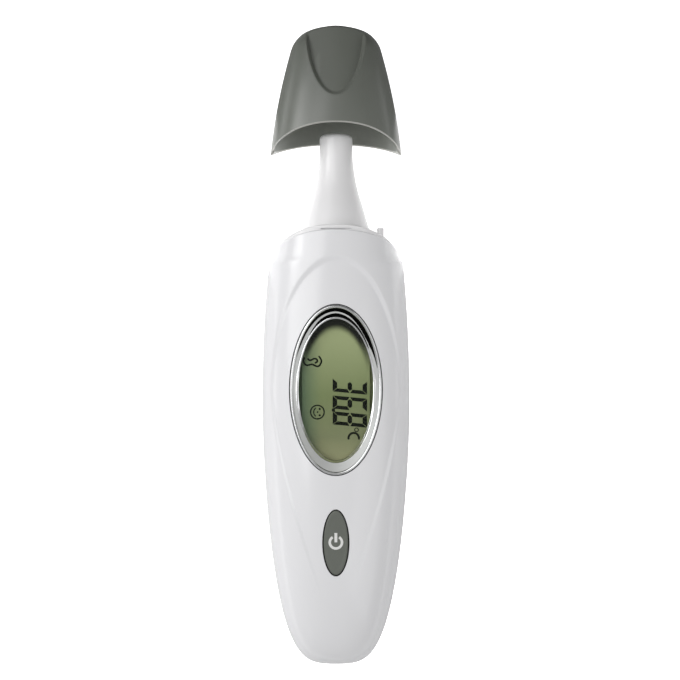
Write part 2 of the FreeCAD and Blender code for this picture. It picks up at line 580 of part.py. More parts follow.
def mode_pin():
    pin = along_y(PIN_X, SEAM_Z, PIN_LOW_Y, PIN_TOP_Y, PIN_R)
    edge = [e for e in pin.Edges if abs(e.CenterOfMass.y - PIN_TOP_Y) < 0.01 and e.Closed]
    pin = pin.makeFillet(0.25, edge[:1])
    return pin.fuse(along_y(PIN_X, SEAM_Z, PIN_FLANGE_Y - 0.6, PIN_FLANGE_Y, PIN_FLANGE_R))


def mode_pin_spring():
    """Compression spring between the guide and the pin's flange, as closed turns."""
    low, top = GUIDE_Y + GUIDE_THICK + SPRING_WIRE_R, PIN_FLANGE_Y - 0.6 - SPRING_WIRE_R
    turns = []
    for i in range(SPRING_TURNS):
        y = low + (top - low) * i / (SPRING_TURNS - 1)
        turns.append(Part.makeTorus(SPRING_R, SPRING_WIRE_R, V(PIN_X, y, SEAM_Z), Y_AXIS))
    return Part.makeCompound(turns)


def mode_switch():
    """Detector switch hanging under the board's tongue, below the pin."""
    case = box(TONGUE_X[0] + 0.2, TONGUE_X[1], TONGUE_TOP_Y - 3.6, TONGUE_TOP_Y, SEAM_Z - 1.4, BOARD_Z)
    lever = along_y(PIN_X, SEAM_Z, TONGUE_TOP_Y, TONGUE_TOP_Y + 0.7, 0.6)
    return case.fuse(lever)


# ---- cap -----------------------------------------------------------------------------------

def cap_dims(height, inset):
    """Half-width and half-depth of the cap at a height over its rim."""
    turn = max(0.0, height - CAP_SHOULDER_FROM)
    shoulder = CAP_SHOULDER_R - math.sqrt(CAP_SHOULDER_R ** 2 - turn ** 2)
    width = CAP_HALF - CAP_TAPER * height - CAP_BOW * height ** 2
    depth = CAP_DEPTH - CAP_DEPTH_TAPER * height - CAP_DEPTH_BOW * height ** 2
    return width - shoulder - inset, depth - shoulder - inset


def cap_power(height):
    """Sections run from the body's own roundness at the rim to a true circle at the top."""
    return 2.35 - 0.35 * max(0.0, height) / CAP_HEIGHT


def cap_loft(inset, top):
    sections = []
    lower = [h for h in CAP_STATIONS if h < top - LOFT_GAP]
    for height in lower + [top]:
        width, depth = cap_dims(height, inset)
        power = cap_power(height)
        sections.append(oval(CAP_RIM_Y + height, width, depth, depth, power, power))
    return Part.makeLoft(sections, True, False)


def scoop(grow=0.0):
    """Thumb scoop: a U-shaped pocket from the cap's top down its front."""
    top = CAP_RIM_Y + CAP_HEIGHT
    plan = Part.Ellipse(V(0, top - SCOOP_LENGTH - grow, 0), V(SCOOP_HALF + grow, top, 0), V(0, top, 0))
    pocket = Part.Face(Part.Wire([plan.toShape()])).extrude(V(0, 0, FAR))
    start = V(0, top + SCOOP_LENGTH, SEAM_Z + SCOOP_CROWN - SCOOP_CORE_R - SCOOP_RISE)
    core = Part.makeCylinder(SCOOP_CORE_R - grow, 4 * SCOOP_LENGTH, start,
                             V(0, -SCOOP_LENGTH, SCOOP_RISE))
    return pocket.cut(core)


def above_crown():
    """What lies over the curved top of the cap."""
    top = CAP_RIM_Y + CAP_HEIGHT
    drum = Part.makeCylinder(CAP_CROWN_R, FAR, V(0, top - CAP_CROWN_R, -FAR / 2), Z_AXIS)
    return box(-CAP_HALF, CAP_HALF, top - CAP_SHOULDER_R, top + 1, -FAR / 2, FAR / 2).cut(drum)


def cap_shell():
    """Hollow cap, open at its rim and at the round aperture the probe looks out of."""
    outer = cap_loft(0.0, CAP_HEIGHT)
    inner = cap_loft(CAP_WALL, CAP_HEIGHT - CAP_TOP_WALL).cut(scoop(CAP_WALL))
    shell = outer.cut(scoop()).cut(inner)
    rib = box(PIN_X - RIB_HALF_X, CAP_HALF, CAP_RIM_Y + RIB_LOW, CAP_RIM_Y + RIB_TOP,
              SEAM_Z - RIB_HALF_Z, SEAM_Z + RIB_HALF_Z)
    shell = shell.fuse(rib.common(inner)).cut(above_crown())
    front = under_arch(CAP_RIM_Y, CAP_HALF, CAP_FRONT_ARCH, SEAM_Z, FAR)
    rear = under_arch(CAP_RIM_Y, CAP_HALF, CAP_REAR_ARCH, -FAR, SEAM_Z)
    hole = along_y(0, SEAM_Z, CAP_RIM_Y + 20, CAP_RIM_Y + CAP_HEIGHT + 5, APERTURE_R)
    return shell.cut([front, rear, hole])


def build():
    outer, inner = body_solid(), body_solid(WALL)
    board_top = BOARD_Z + BOARD_THICK
    return {
        "front_cover": front_cover(outer, inner),
        "rear_cover": rear_cover(outer, inner),
        "case_screws": case_screws(),
        "bezel": bezel(),
        "display_window": display_window(),
        "lcd_panel": lcd_panel(),
        "lcd_frame": lcd_frame(),
        "zebra_strips": zebra_strips(),
        "main_board": main_board(),
        "board_screws": board_screws(),
        "controller_blob": controller_blob(),
        "board_components": board_components(),
        "crystal": crystal(),
        "buzzer": buzzer(),
        "power_button": power_button(),
        "power_switch": switch_body(0, POWER_Y, board_top, 1),
        "power_switch_plunger": plunger(0, POWER_Y, board_top, 1),
        "scan_button": scan_button(),
        "scan_switch": switch_body(0, SCAN_Y, BOARD_Z, -1),
        "scan_switch_plunger": plunger(0, SCAN_Y, BOARD_Z, -1),
        "battery": battery(),
        "battery_door": battery_door(),
        "contact_negative": contact_negative(),
        "contact_positive": contact_positive(),
        "probe_shell": probe_shell(),
        "ir_window": ir_window(),
        "sensor_can": sensor_can(),
        "sensor_header": sensor_header(),
        "sensor_sleeve": sensor_sleeve(),
        "sensor_flex": sensor_flex(),
        "mode_pin": mode_pin(),
        "mode_pin_spring": mode_pin_spring(),
        "mode_switch": mode_switch(),
        "cap_shell": cap_shell(),
    }


os.makedirs("parts", exist_ok=True)
for node, shape in build().items():
    if not shape.isValid():
        print("not valid:", node)
    print(f"{node:22s} solids {len(shape.Solids)} volume {shape.Volume:9.2f} mm3")
    shape.exportStep(f"parts/{node}.step")
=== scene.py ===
import json
import math

import bmesh
import bpy
import numpy as np
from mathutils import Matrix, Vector


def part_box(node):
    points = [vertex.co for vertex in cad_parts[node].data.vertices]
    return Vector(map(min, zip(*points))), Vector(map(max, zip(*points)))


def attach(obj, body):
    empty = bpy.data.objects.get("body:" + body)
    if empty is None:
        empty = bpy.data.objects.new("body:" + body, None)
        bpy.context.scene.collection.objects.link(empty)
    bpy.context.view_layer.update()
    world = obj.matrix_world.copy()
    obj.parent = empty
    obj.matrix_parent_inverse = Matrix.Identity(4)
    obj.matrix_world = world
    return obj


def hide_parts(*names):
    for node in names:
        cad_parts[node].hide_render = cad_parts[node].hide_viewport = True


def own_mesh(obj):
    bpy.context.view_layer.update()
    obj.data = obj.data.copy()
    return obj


# Looks of the ear thermometer. Shapes are worked out in millimetres in the frame of the CAD
# part, whose boxes give the places, and are scaled to metres when a mesh is made.

MM = 0.001
SHARP_ANGLE = 32          # degrees, above which an edge isn't smoothed
LARGE_FACE = 1e-5         # square metres

# Forms shared with the CAD part
HALF_WIDTH, FRONT_RISE, REAR_DROP = 18.4, 14.0, 14.6
WIDEST_Y, NECK_REACH = 9.0, 44.0
FRONT_POWER, REAR_POWER = 2.3, 3.2
WALL = 1.8
ARCH_POWER, ARCH_ROUND = 2.2, 0.66
SEAT_Y, SEAT_HALF, SEAT_FRONT_ARCH, SEAT_REAR_ARCH = 46.9, 16.5, 6.3, 3.8
EGG_Y, EGG_HALF, EGG_UP, EGG_DOWN, EGG_DOWN_POWER = 13.85, 16.3, 33.05, 60.0, 1.45
NECK_HALF, NECK_DEPTH, NECK_LOW_Y, NECK_WALL = 15.1, 10.5, 43.0, 1.5
COLLAR_Y, COLLAR_ARCH = 48.0, 6.5
CAP_WALL, CAP_TOP_WALL, APERTURE_R = 0.9, 1.6, 4.75
CAP_HALF, CAP_TAPER, CAP_BOW = 16.35, 0.10, 0.0035
CAP_DEPTH, CAP_DEPTH_TAPER, CAP_DEPTH_BOW = 12.2, 0.05, 0.0013
CAP_SHOULDER_FROM, CAP_SHOULDER_R = 26.4, 5.6
CAP_FRONT_ARCH, CAP_REAR_ARCH = 7.1, 4.2
SCOOP_LENGTH, SCOOP_HALF, SCOOP_RISE, SCOOP_CROWN, SCOOP_CORE_R = 18.0, 7.6, 4.08, 6.6, 15.0
CAP_CROWN_R = 27.0
RIB_LOW, RIB_TOP, RIB_HALF_X, RIB_HALF_Z = 7.4, 12.0, 0.9, 0.8

# Depth and width of the sunken panel's crease along the body, by station
CREASE_Y = (-37.0, -24.0, 14.0, 35.0, 47.0)
CREASE_DEPTH = (0.0, 0.20, 0.30, 0.42, 0.45)
CREASE_WIDTH = (1.0, 1.0, 0.9, 1.4, 1.6)

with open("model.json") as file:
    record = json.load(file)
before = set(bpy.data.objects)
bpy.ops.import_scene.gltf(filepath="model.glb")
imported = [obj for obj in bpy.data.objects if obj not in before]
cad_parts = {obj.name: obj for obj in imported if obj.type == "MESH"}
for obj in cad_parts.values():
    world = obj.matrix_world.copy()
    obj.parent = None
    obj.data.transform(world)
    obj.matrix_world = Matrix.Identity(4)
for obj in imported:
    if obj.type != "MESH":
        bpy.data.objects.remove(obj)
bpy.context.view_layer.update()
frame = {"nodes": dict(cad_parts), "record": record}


def span(node):
    """Lowest and highest corner of a CAD node, in millimetres."""
    low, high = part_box(node)
    return np.array(low) / MM, np.array(high) / MM


def middle(node):
    low, high = span(node)
    return (low + high) / 2


SEAM_Z = span("front_cover")[0][2]
TAIL = WIDEST_Y - span("front_cover")[0][1]
BEZEL_LOW, BEZEL_HIGH = span("bezel")
DISPLAY_Y = middle("bezel")[1]
BEZEL_HALF = (BEZEL_HIGH - BEZEL_LOW)[:2] / 2
WINDOW_LOW, WINDOW_HIGH = span("display_window")
WINDOW_HALF = (WINDOW_HIGH - WINDOW_LOW)[:2] / 2
LCD_TOP = span("lcd_panel")[1][2]
CAP_RIM_Y, CAP_TOP_Y = span("cap_shell")[0][1], span("cap_shell")[1][1]


# ---- meshes --------------------------------------------------------------------------------

def solid(name, points, faces, smooth=SHARP_ANGLE):
    """A closed mesh object from points in millimetres, its normals outward."""
    mesh = bpy.data.meshes.new(name)
    mesh.from_pydata((np.asarray(points, float) * MM).tolist(), [], faces)
    shell = bmesh.new()
    shell.from_mesh(mesh)
    bmesh.ops.recalc_face_normals(shell, faces=shell.faces)
    shell.to_mesh(mesh)
    shell.free()
    mesh.shade_smooth()
    mesh.set_sharp_from_angle(angle=math.radians(smooth))
    obj = bpy.data.objects.new(name, mesh)
    bpy.context.scene.collection.objects.link(obj)
    return obj


def combine(target, others, operation):
    """Joins or cuts the other objects into the target, and removes them."""
    for other in others:
        change = target.modifiers.new("change", "BOOLEAN")
        change.operation = operation
        change.solver = "MANIFOLD"
        change.object = other
    graph = bpy.context.evaluated_depsgraph_get()
    mesh = bpy.data.meshes.new_from_object(target.evaluated_get(graph))
    target.modifiers.clear()
    old = target.data
    target.data = mesh
    bpy.data.meshes.remove(old)
    mesh.shade_smooth()
    mesh.set_sharp_from_angle(angle=math.radians(SHARP_ANGLE))
    for other in others:
        bpy.data.meshes.remove(other.data)
    return target


def finish(obj, body, slot, material, *nodes):
    """Gives a piece its body and material, and hides the CAD nodes that it stands for; its slot is not
    used.
    """
    obj.data.materials.clear()
    obj.data.materials.append(material)
    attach(obj, body)
    if nodes:
        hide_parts(*nodes)
    return obj


def quads(rows, columns, start=0, wrap=False):
    """Faces of a grid of points stored row by row."""
    faces = []
    last = columns if wrap else columns - 1
    for i in range(rows - 1):
        for j in range(last):
            k = (j + 1) % columns
            a, b = start + i * columns, start + (i + 1) * columns
            faces.append((a + j, a + k, b + k, b + j))
    return faces


def rings(name, grid, smooth=SHARP_ANGLE):
    """A solid from closed rings, its first and last ring closed by flat faces."""
    rows, columns = grid.shape[:2]
    faces = quads(rows, columns, wrap=True)
    faces.append(tuple(range(columns)))
    faces.append(tuple(range((rows - 1) * columns, rows * columns)))
    return solid(name, grid.reshape(-1, 3), faces, smooth)


def tube_grid(name, grid, smooth=SHARP_ANGLE):
    """A solid whose rings also close on each other, such as a hollow ring or a cup."""
    rows, columns = grid.shape[:2]
    faces = quads(rows, columns, wrap=True)
    top = (rows - 1) * columns
    faces += [(top + j, top + (j + 1) % columns, (j + 1) % columns, j) for j in range(columns)]
    return solid(name, grid.reshape(-1, 3), faces, smooth)


def turned(name, profile, centre, axis="z", segments=96):
    """A solid of revolution from (radius, height) pairs."""
    angle = np.linspace(0, 2 * math.pi, segments, endpoint=False)
    radius, height = np.array(profile, float).T
    u = radius[:, None] * np.cos(angle)
    v = radius[:, None] * np.sin(angle)
    w = np.repeat(height[:, None], segments, 1)
    if axis == "y":
        grid = np.stack([centre[0] + u, w, centre[2] + v], -1)
    else:
        grid = np.stack([centre[0] + u, centre[1] + v, w], -1)
    return rings(name, grid)


def rod(x, y, z0, z1, radius, segments=96):
    return turned("rod", [(radius, z0), (radius, z1)], (x, y, 0), segments=segments)


def ellipse_column(half_x, half_y, y, z0, z1, segments=192):
    angle = np.linspace(0, 2 * math.pi, segments, endpoint=False)
    ring = np.stack([half_x * np.cos(angle), y + half_y * np.sin(angle)], -1)
    grid = np.stack([np.c_[ring, np.full(segments, z)] for z in (z0, z1)])
    return rings("column", grid)


def plate(name, outlines, z0, z1):
    """Thin flat pieces from outlines given as lists of (x, y)."""
    points, faces = [], []
    for outline in outlines:
        start, count = len(points), len(outline)
        points += [(x, y, z0) for x, y in outline] + [(x, y, z1) for x, y in outline]
        faces.append(tuple(range(start, start + count)))
        faces.append(tuple(range(start + count, start + 2 * count)))
        for i in range(count):
            k = (i + 1) % count
            faces.append((start + i, start + k, start + count + k, start + count + i))
    return solid(name, points, faces)


# ---- the body's surface --------------------------------------------------------------------

def lift(x, half):
    return (1 - np.minimum(1.0, np.abs(x / half)) ** ARCH_POWER) ** ARCH_ROUND


def body_dims(y, inset):
    """Half-width, front rise and rear drop at stations, set in by inset."""
    width, rise, drop = HALF_WIDTH - inset, FRONT_RISE - inset, REAR_DROP - inset
    u = np.clip((WIDEST_Y - y) / (TAIL - inset), 0, 1 - 1e-9)
    t = np.maximum(0, (y - WIDEST_Y) / NECK_REACH)
    step = np.maximum(0, y - 44.4) / 2.0
    shoulder = 1.3 * (1 - 1 / (1 + step ** 3))
    low = (width * (1 - u ** 1.55) ** 0.27, rise * (1 - u ** 2.4) ** 0.33,
           drop * (1 - u ** 3) ** 0.45)
    high = (width - 2.5 * t ** 2.2 - shoulder, rise - 2.25 * t ** 2, drop - 2.4 * t ** 2)
    return [np.where(y < WIDEST_Y, a, b) for a, b in zip(low, high)]


def on_section(angle, width, rise, drop, front_power, rear_power):
    """Points of superellipse sections at given angles from +X."""
    c, s = np.cos(angle), np.sin(angle)
    height = np.where(s >= 0, rise, drop)
    power = np.where(s >= 0, front_power, rear_power)
    radius = ((np.abs(c) / width) ** power + (np.abs(s) / height) ** power) ** (-1 / power)
    return radius * c, SEAM_Z + radius * s


def smoothstep(t):
    t = np.clip(t, 0, 1)
    return t * t * (3 - 2 * t)


def soft_max(z, low, width):
    h = np.clip(0.5 + 0.5 * (z - low) / width, 0, 1)
    return low + (z - low) * h + width * h * (1 - h)


def panel_depth(x, y):
    """How far the egg-shaped panel is sunk at points of the front."""
    up = np.sqrt((x / EGG_HALF) ** 2 + ((y - EGG_Y) / EGG_UP) ** 2) + 1e-6
    slope = np.sqrt((x / EGG_HALF ** 2) ** 2 + ((y - EGG_Y) / EGG_UP ** 2) ** 2) / up + 1e-6
    inside_up = (1 - up) / slope
    v = np.clip((EGG_Y - y) / EGG_DOWN, 0, 1)
    half = EGG_HALF * (1 - v ** EGG_DOWN_POWER)
    steep = EGG_HALF * EGG_DOWN_POWER * v ** (EGG_DOWN_POWER - 1) / EGG_DOWN
    inside_low = (half - np.abs(x)) / np.sqrt(1 + steep ** 2)
    inside = np.where(y >= EGG_Y, inside_up, inside_low)
    depth = np.interp(y, CREASE_Y, CREASE_DEPTH)
    width = np.interp(y, CREASE_Y, CREASE_WIDTH)
    return depth * smoothstep(inside / width)


def body_surface(y, angle, inset, sunken):
    """Points of the body at stations and angles, with the panel sunk when asked for."""
    x, z = on_section(angle, *body_dims(y, inset), FRONT_POWER, REAR_POWER)
    if sunken:
        for _ in range(2):
            extra = inset + panel_depth(x, y)
            x, z = on_section(angle, *body_dims(y, extra), FRONT_POWER, REAR_POWER)
    return x, z


def front_height(x, y, inset=0.0):
    """Height of the front's surface over points of the plan."""
    width, rise, _ = body_dims(y, inset + panel_depth(x, y))
    return SEAM_Z + rise * (1 - np.minimum(1, np.abs(x) / width) ** FRONT_POWER) ** (1 / FRONT_POWER)


def cover_rows():
    """Stations of a cover's rows, with their share of the way to the arched edge, their draw-in
    and their drop at its rounded lip."""
    split, lip = 36.0, 0.3
    tail_rows, body_rows, neck_rows, lip_rows = 49, 280, 55, 5
    s = np.linspace(0.012, 0.6, tail_rows)
    tail = WIDEST_Y - (1 - s ** 3.7) * TAIL
    body = np.linspace(tail[-1], split, body_rows + 1)[1:]
    turn = np.linspace(0, math.pi / 2, lip_rows + 1)[1:]
    straight = np.zeros(tail_rows + body_rows)
    share = np.r_[straight, np.linspace(0, 1, neck_rows + 1)[1:], np.ones(lip_rows)]
    base = np.r_[tail, body, np.full(neck_rows + lip_rows, split)]
    inset = np.r_[straight, np.zeros(neck_rows), lip * (1 - np.cos(turn))]
    drop = np.r_[straight, np.linspace(0, lip, neck_rows + 1)[1:], lip * (1 - np.sin(turn))]
    return base, share, inset, drop


def cover_grid(rows, angles, inset, arch, shape):
    base, share, extra, drop = (a[:, None] + 0 * angles for a in rows)
    angle = angles + 0 * base
    y = np.where(base < WIDEST_Y, WIDEST_Y - (WIDEST_Y - base) * (TAIL - inset) / TAIL, base)
    fixed = y
    total = inset + (extra if inset == 0 else 0)
    for _ in range(8):
        x, z = body_surface(y, angle, total, inset == 0 and arch == SEAT_FRONT_ARCH)
        y = fixed + share * (SEAT_Y + arch * lift(x, SEAT_HALF) - fixed) - drop
    return shape(x, y, z)


def cover(name, first, last, arch, outer_shape, inner_shape, columns=240, step=4):
    """Half of the body as a closed shell with a rounded top edge."""
    rows = cover_rows()
    angles = np.linspace(first, last, columns + 1)
    outer = cover_grid(rows, angles, 0.0, arch, outer_shape)
    inner = cover_grid([a[::step] for a in rows], angles[::step], WALL, arch, inner_shape)
    r, c = outer.shape[:2]
    ri, ci = inner.shape[:2]
    start = r * c
    faces = quads(r, c) + quads(ri, ci, start)
    for k in range(ri - 1):
        for j, i in ((0, 0), (c - 1, ci - 1)):
            side = [(k * step + n) * c + j for n in range(step + 1)]
            faces.append(tuple(side + [start + (k + 1) * ci + i, start + k * ci + i]))
    for k in range(ci - 1):
        edge = [(r - 1) * c + k * step + n for n in range(step + 1)]
        faces.append(tuple(edge + [start + (ri - 1) * ci + k + 1, start + (ri - 1) * ci + k]))
    faces.append(tuple(range(c)))
    faces.append(tuple(range(start, start + ci)))
    faces.append((0, c - 1, start + ci - 1, start))
    points = np.r_[outer.reshape(-1, 3), inner.reshape(-1, 3)]
    return solid(name, points, faces)


# ---- covers --------------------------------------------------------------------------------

SEAM_GAP = 0.05
SEAM_EDGE, SEAM_DRAW = 0.25, 0.008   # height of the groove at the seam and its depth as a share of x
BEZEL_GAP = 0.12
KEY_HOLE = (3.3, 8.2)                # half-axes of the power button's opening
DISH_R, DISH_DEPTH = 8.5, 0.5        # finger dish round the scan button
DOOR_ROOM_R, DOOR_ROOM_TOP, DOOR_WALL = 12.6, 6.8, 1.0
DOOR_HOLE_R, LUG_NOTCH_R, LUG_NOTCH_HALF, LUG_TURN = 11.28, 12.5, 17, 40
SCAN_HOLE_R = 5.22
BOSS_R, SCREW_HEAD_R, SCREW_HEAD_TOP, SCREW_SHANK_R = 2.4, 2.0, 7.2, 1.0
BOSS_SEGMENTS = 48


def front_outer(x, y, z):
    edge = np.clip(1 - (z - SEAM_Z) / SEAM_EDGE, 0, 1) ** 2
    return np.stack([x * (1 - SEAM_DRAW * edge), y, np.maximum(z, SEAM_Z + SEAM_GAP)], -1)


def front_inner(x, y, z):
    return np.stack([x, y, np.maximum(z, SEAM_Z + SEAM_GAP)], -1)


def rear_outer(x, y, z):
    edge = np.clip(1 - (SEAM_Z - z) / SEAM_EDGE, 0, 1) ** 2
    z = soft_max(z, 0.0, 0.5)
    radius = (DISH_R ** 2 + DISH_DEPTH ** 2) / (2 * DISH_DEPTH)
    reach = np.hypot(x, y - SCAN_CENTRE[1])
    bowl = DISH_DEPTH - radius + np.sqrt(np.maximum(0, radius ** 2 - reach ** 2))
    z = soft_max(z, np.where(reach < 1.2 * DISH_R, bowl, -1.0), 0.12)
    z = np.minimum(np.maximum(z, 0), SEAM_Z - SEAM_GAP)
    return np.stack([x * (1 - SEAM_DRAW * edge), y, z], -1)


def rear_inner(x, y, z):
    return np.stack([x, y, np.minimum(np.maximum(z, WALL + 0.4), SEAM_Z - SEAM_GAP)], -1)


SCAN_CENTRE = middle("scan_button")
DOOR_CENTRE = middle("battery_door")


def front_cover(material):
    shell = cover("front_shell", 0, math.pi, SEAT_FRONT_ARCH, front_outer, front_inner)
    low_z, high_z = 10, 40
    holes = [ellipse_column(BEZEL_HALF[0] + BEZEL_GAP, BEZEL_HALF[1] + BEZEL_GAP, DISPLAY_Y, low_z, high_z),
             ellipse_column(*KEY_HOLE, middle("power_button")[1], low_z, high_z)]
    combine(shell, holes, "DIFFERENCE")
    return finish(shell, "body", "white_plastic", material, "front_cover")


def wedge(half_angle, radius, turn, z0, z1):
    """Slice of a disc about the battery door's axis, for the lug notches."""
    angle = np.radians(np.linspace(turn - half_angle, turn + half_angle, 25))
    outline = [(0.0, DOOR_CENTRE[1])]
    outline += [(radius * math.cos(a), DOOR_CENTRE[1] + radius * math.sin(a)) for a in angle]
    return plate("wedge", [outline], z0, z1)


def rear_cover(material):
    shell = cover("rear_shell", math.pi, 2 * math.pi, SEAT_REAR_ARCH, rear_outer, rear_inner)
    door_y = DOOR_CENTRE[1]
    wells = screw_places()
    under, sill = -1, WALL + 0.2
    adds = [rod(0, door_y, 1.0, DOOR_ROOM_TOP + DOOR_WALL, DOOR_ROOM_R + DOOR_WALL)]
    adds += [screw_boss(x, y, BOSS_R) for x, y in wells]
    combine(shell, adds, "UNION")
    cuts = [rod(0, door_y, WALL, DOOR_ROOM_TOP, DOOR_ROOM_R), rod(0, door_y, under, sill, DOOR_HOLE_R)]
    cuts += [wedge(LUG_NOTCH_HALF, LUG_NOTCH_R, turn, under, sill) for turn in (LUG_TURN, LUG_TURN + 180)]
    cuts.append(rod(SCAN_CENTRE[0], SCAN_CENTRE[1], under, 4, SCAN_HOLE_R))
    cuts += [rod(x, y, under, SCREW_HEAD_TOP, SCREW_HEAD_R, BOSS_SEGMENTS) for x, y in wells]
    cuts += [rod(x, y, SCREW_HEAD_TOP - 0.2, 14, SCREW_SHANK_R, BOSS_SEGMENTS) for x, y in wells]
    combine(shell, cuts, "DIFFERENCE")
    return finish(shell, "body", "white_plastic", material, "rear_cover")


def screw_boss(x, y, radius):
    """Column for a case screw, its foot buried in the cover's wall."""
    angle = np.linspace(0, 2 * math.pi, BOSS_SEGMENTS, endpoint=False)
    px, py = x + radius * np.cos(angle), y + radius * np.sin(angle)
    width, _, drop = body_dims(py, 0.7)
    share = np.minimum(1, np.abs(px) / width) ** REAR_POWER
    foot = np.maximum(0.9, SEAM_Z - drop * (1 - share) ** (1 / REAR_POWER))
    grid = [np.stack([px, py, z], -1) for z in (foot, 0 * foot + SEAM_Z - SEAM_GAP)]
    return rings("boss", np.stack(grid))


def screw_places():
    """Centres of the case screws, found from the CAD screws' own vertices."""
    mesh = frame["nodes"]["case_screws"].data
    co = np.array([v.co for v in mesh.vertices]) / MM
    places = []
    for group in (co[co[:, 1] < 0], co[(co[:, 1] > 0) & (co[:, 0] < 0)],
                  co[(co[:, 1] > 0) & (co[:, 0] > 0)]):
        low, high = group.min(0), group.max(0)
        places.append((float(low[0] + high[0]) / 2, float(low[1] + high[1]) / 2))
    return places


# ---- bezel and display ---------------------------------------------------------------------

DISH_FALL = 0.5           # share of the dish's height that its lower half falls through
RIM_WIDTH, BEAD_WIDTH, RIM_RISE, BEAD_RISE, DISH_STEP = 0.78, 0.6, 0.2, 0.2, 0.16
BEZEL_SIDE_GAP, RIM_SINK, RIM_EDGE, MIN_STEP = 0.06, 0.05, 0.25, 0.04

# Width of the two steps round the top of the ring that carry the painted dark reflection, by angle in
# degrees
OUTER_STEP = ((15, 24, 35, 45, 57, 70, 90, 120, 146, 156),
              (MIN_STEP, 0.32, 0.70, 0.78, 0.66, 0.50, 0.42, 0.38, 0.30, MIN_STEP))
INNER_STEP = ((32, 52, 90, 116, 132), (MIN_STEP, 0.22, 0.38, 0.30, MIN_STEP))


def bezel(material, satin, dark_reflection_paint):
    """Chrome ring: a bright rim, a satin dish whose two steps round its top are painted black as a painted
    dark reflection, and a bright bead round the window.
    """
    segments = 320
    angle = np.linspace(0, 2 * math.pi, segments, endpoint=False)
    c, s = np.cos(angle), np.sin(angle)
    gap = BEZEL_SIDE_GAP
    outer = np.stack([(BEZEL_HALF[0] - gap) * c, (BEZEL_HALF[1] - gap) * s], -1)
    inner = np.stack([(WINDOW_HALF[0] + gap) * c, (WINDOW_HALF[1] + gap) * s], -1)
    reach = np.linalg.norm(outer - inner, axis=1)
    rim_z = front_height(outer[:, 0], DISPLAY_Y + outer[:, 1]) - RIM_SINK
    seat_z = WINDOW_HIGH[2] + 0.02
    low_z = BEZEL_LOW[2]
    rows = [(0 * c, 0 * c + low_z), (0 * c, rim_z - RIM_EDGE)]
    for a in np.linspace(0, 1, 11):
        crest = RIM_RISE * (math.sin(math.pi * a) ** 0.8)
        rows.append((RIM_WIDTH * a + 0 * c, rim_z - RIM_EDGE * (1 - a) ** 6 + crest))
    dish_top = rim_z - DISH_STEP
    dish_low = seat_z + 0.05
    upper = smoothstep((s + 0.05) / 0.5)
    degrees = np.degrees(np.where(angle > 1.5 * math.pi, angle - 2 * math.pi, angle))
    outer_step = np.interp(degrees, *OUTER_STEP)
    inner_step = np.interp(degrees, *INNER_STEP)
    first_dish = len(rows)
    step_rows, middle_rows = 9, 13
    spans = [(0 * c, outer_step, step_rows), (outer_step, 1 - inner_step, middle_rows),
             (1 - inner_step, 1 + 0 * c, step_rows)]
    for k, (begin, end, count) in enumerate(spans):
        for a in np.linspace(0, 1, count)[1 if k else 0:]:
            part = begin + (end - begin) * a
            along = RIM_WIDTH + 0.05 + (reach - RIM_WIDTH - BEAD_WIDTH - 0.05) * part
            plain = 1 - DISH_FALL * part
            fall = smoothstep(part / outer_step)
            second = smoothstep((part - 1 + inner_step) / inner_step)
            stepped = 1 - 0.5 * fall - 0.1 * part - 0.4 * second
            share = plain + (stepped - plain) * upper
            rows.append((along, dish_low + (dish_top - dish_low) * share))
    last_dish = len(rows)
    dish_end = (dish_top - dish_low) * (1 - DISH_FALL) * (1 - upper)
    for a in np.linspace(0.08, 1, 10):
        rise = BEAD_RISE * (0.3 + 0.7 * upper) * math.sin(math.pi * min(a, 0.97)) ** 0.8
        height = seat_z + dish_end * (1 - smoothstep(a)) + rise + 0.05 * (1 - a)
        rows.append((reach - BEAD_WIDTH * (1 - a), height))
    rows.append((reach, 0 * c + low_z))
    grid = []
    for along, height in rows:
        share = (along / reach)[:, None]
        plan = outer + (inner - outer) * share
        grid.append(np.stack([plan[:, 0], DISPLAY_Y + plan[:, 1], height + 0 * c], -1))
    ring = tube_grid("bezel_ring", np.stack(grid), 40)
    finish(ring, "body", "chrome", material, "bezel")
    ring.data.materials.append(satin)
    ring.data.materials.append(dark_reflection_paint)
    # Faces of the two steps get the flat black, a painted dark reflection; the rest of the dish gets satin.
    for face in ring.data.polygons:
        row = min(face.vertices) // segments - first_dish
        if 0 <= row < last_dish - first_dish - 1 and face.area < LARGE_FACE:
            column = min(v % segments for v in face.vertices)
            least = 1.25 * MIN_STEP
            on_outer = row < step_rows - 1 and outer_step[column] > least
            on_inner = row >= step_rows + middle_rows - 2 and inner_step[column] > least
            face.material_index = 2 if on_outer or on_inner else 1
    return ring


DIGIT_HEIGHT, DIGIT_WIDTH, UPRIGHT, LEVEL, MITRE, SLANT = 8.4, 3.2, 0.86, 1.08, 0.08, 0.096
SEGMENTS = {"3": "abcdg", "6": "acdefg", "8": "abcdefg"}
GLYPH_X = -0.79


def segment_shapes():
    h, w, u, v, m = DIGIT_HEIGHT, DIGIT_WIDTH, UPRIGHT, LEVEL, MITRE
    mid = h / 2
    level = [(m, 0), (w - m, 0), (w - u - m, v), (u + m, v)]
    upright = [(0, m), (0, mid - m), (u, mid - v / 2 - m), (u, v + m)]

    def flip_x(shape):
        return [(w - a, b) for a, b in shape]

    def flip_y(shape):
        return [(a, h - b) for a, b in shape]

    middle_bar = [(u / 2 + m, mid), (u + m, mid + v / 2), (w - u - m, mid + v / 2),
                  (w - u / 2 - m, mid), (w - u - m, mid - v / 2), (u + m, mid - v / 2)]
    return {"d": level, "a": flip_y(level), "e": upright, "f": flip_y(upright),
            "c": flip_x(upright), "b": flip_x(flip_y(upright)), "g": middle_bar}


def digit(character, left):
    """Outlines of one seven-segment digit, its text running towards -Y."""
    shapes = segment_shapes()
    return [[(GLYPH_X + b, left - a - SLANT * b) for a, b in shapes[name]]
            for name in SEGMENTS[character]]


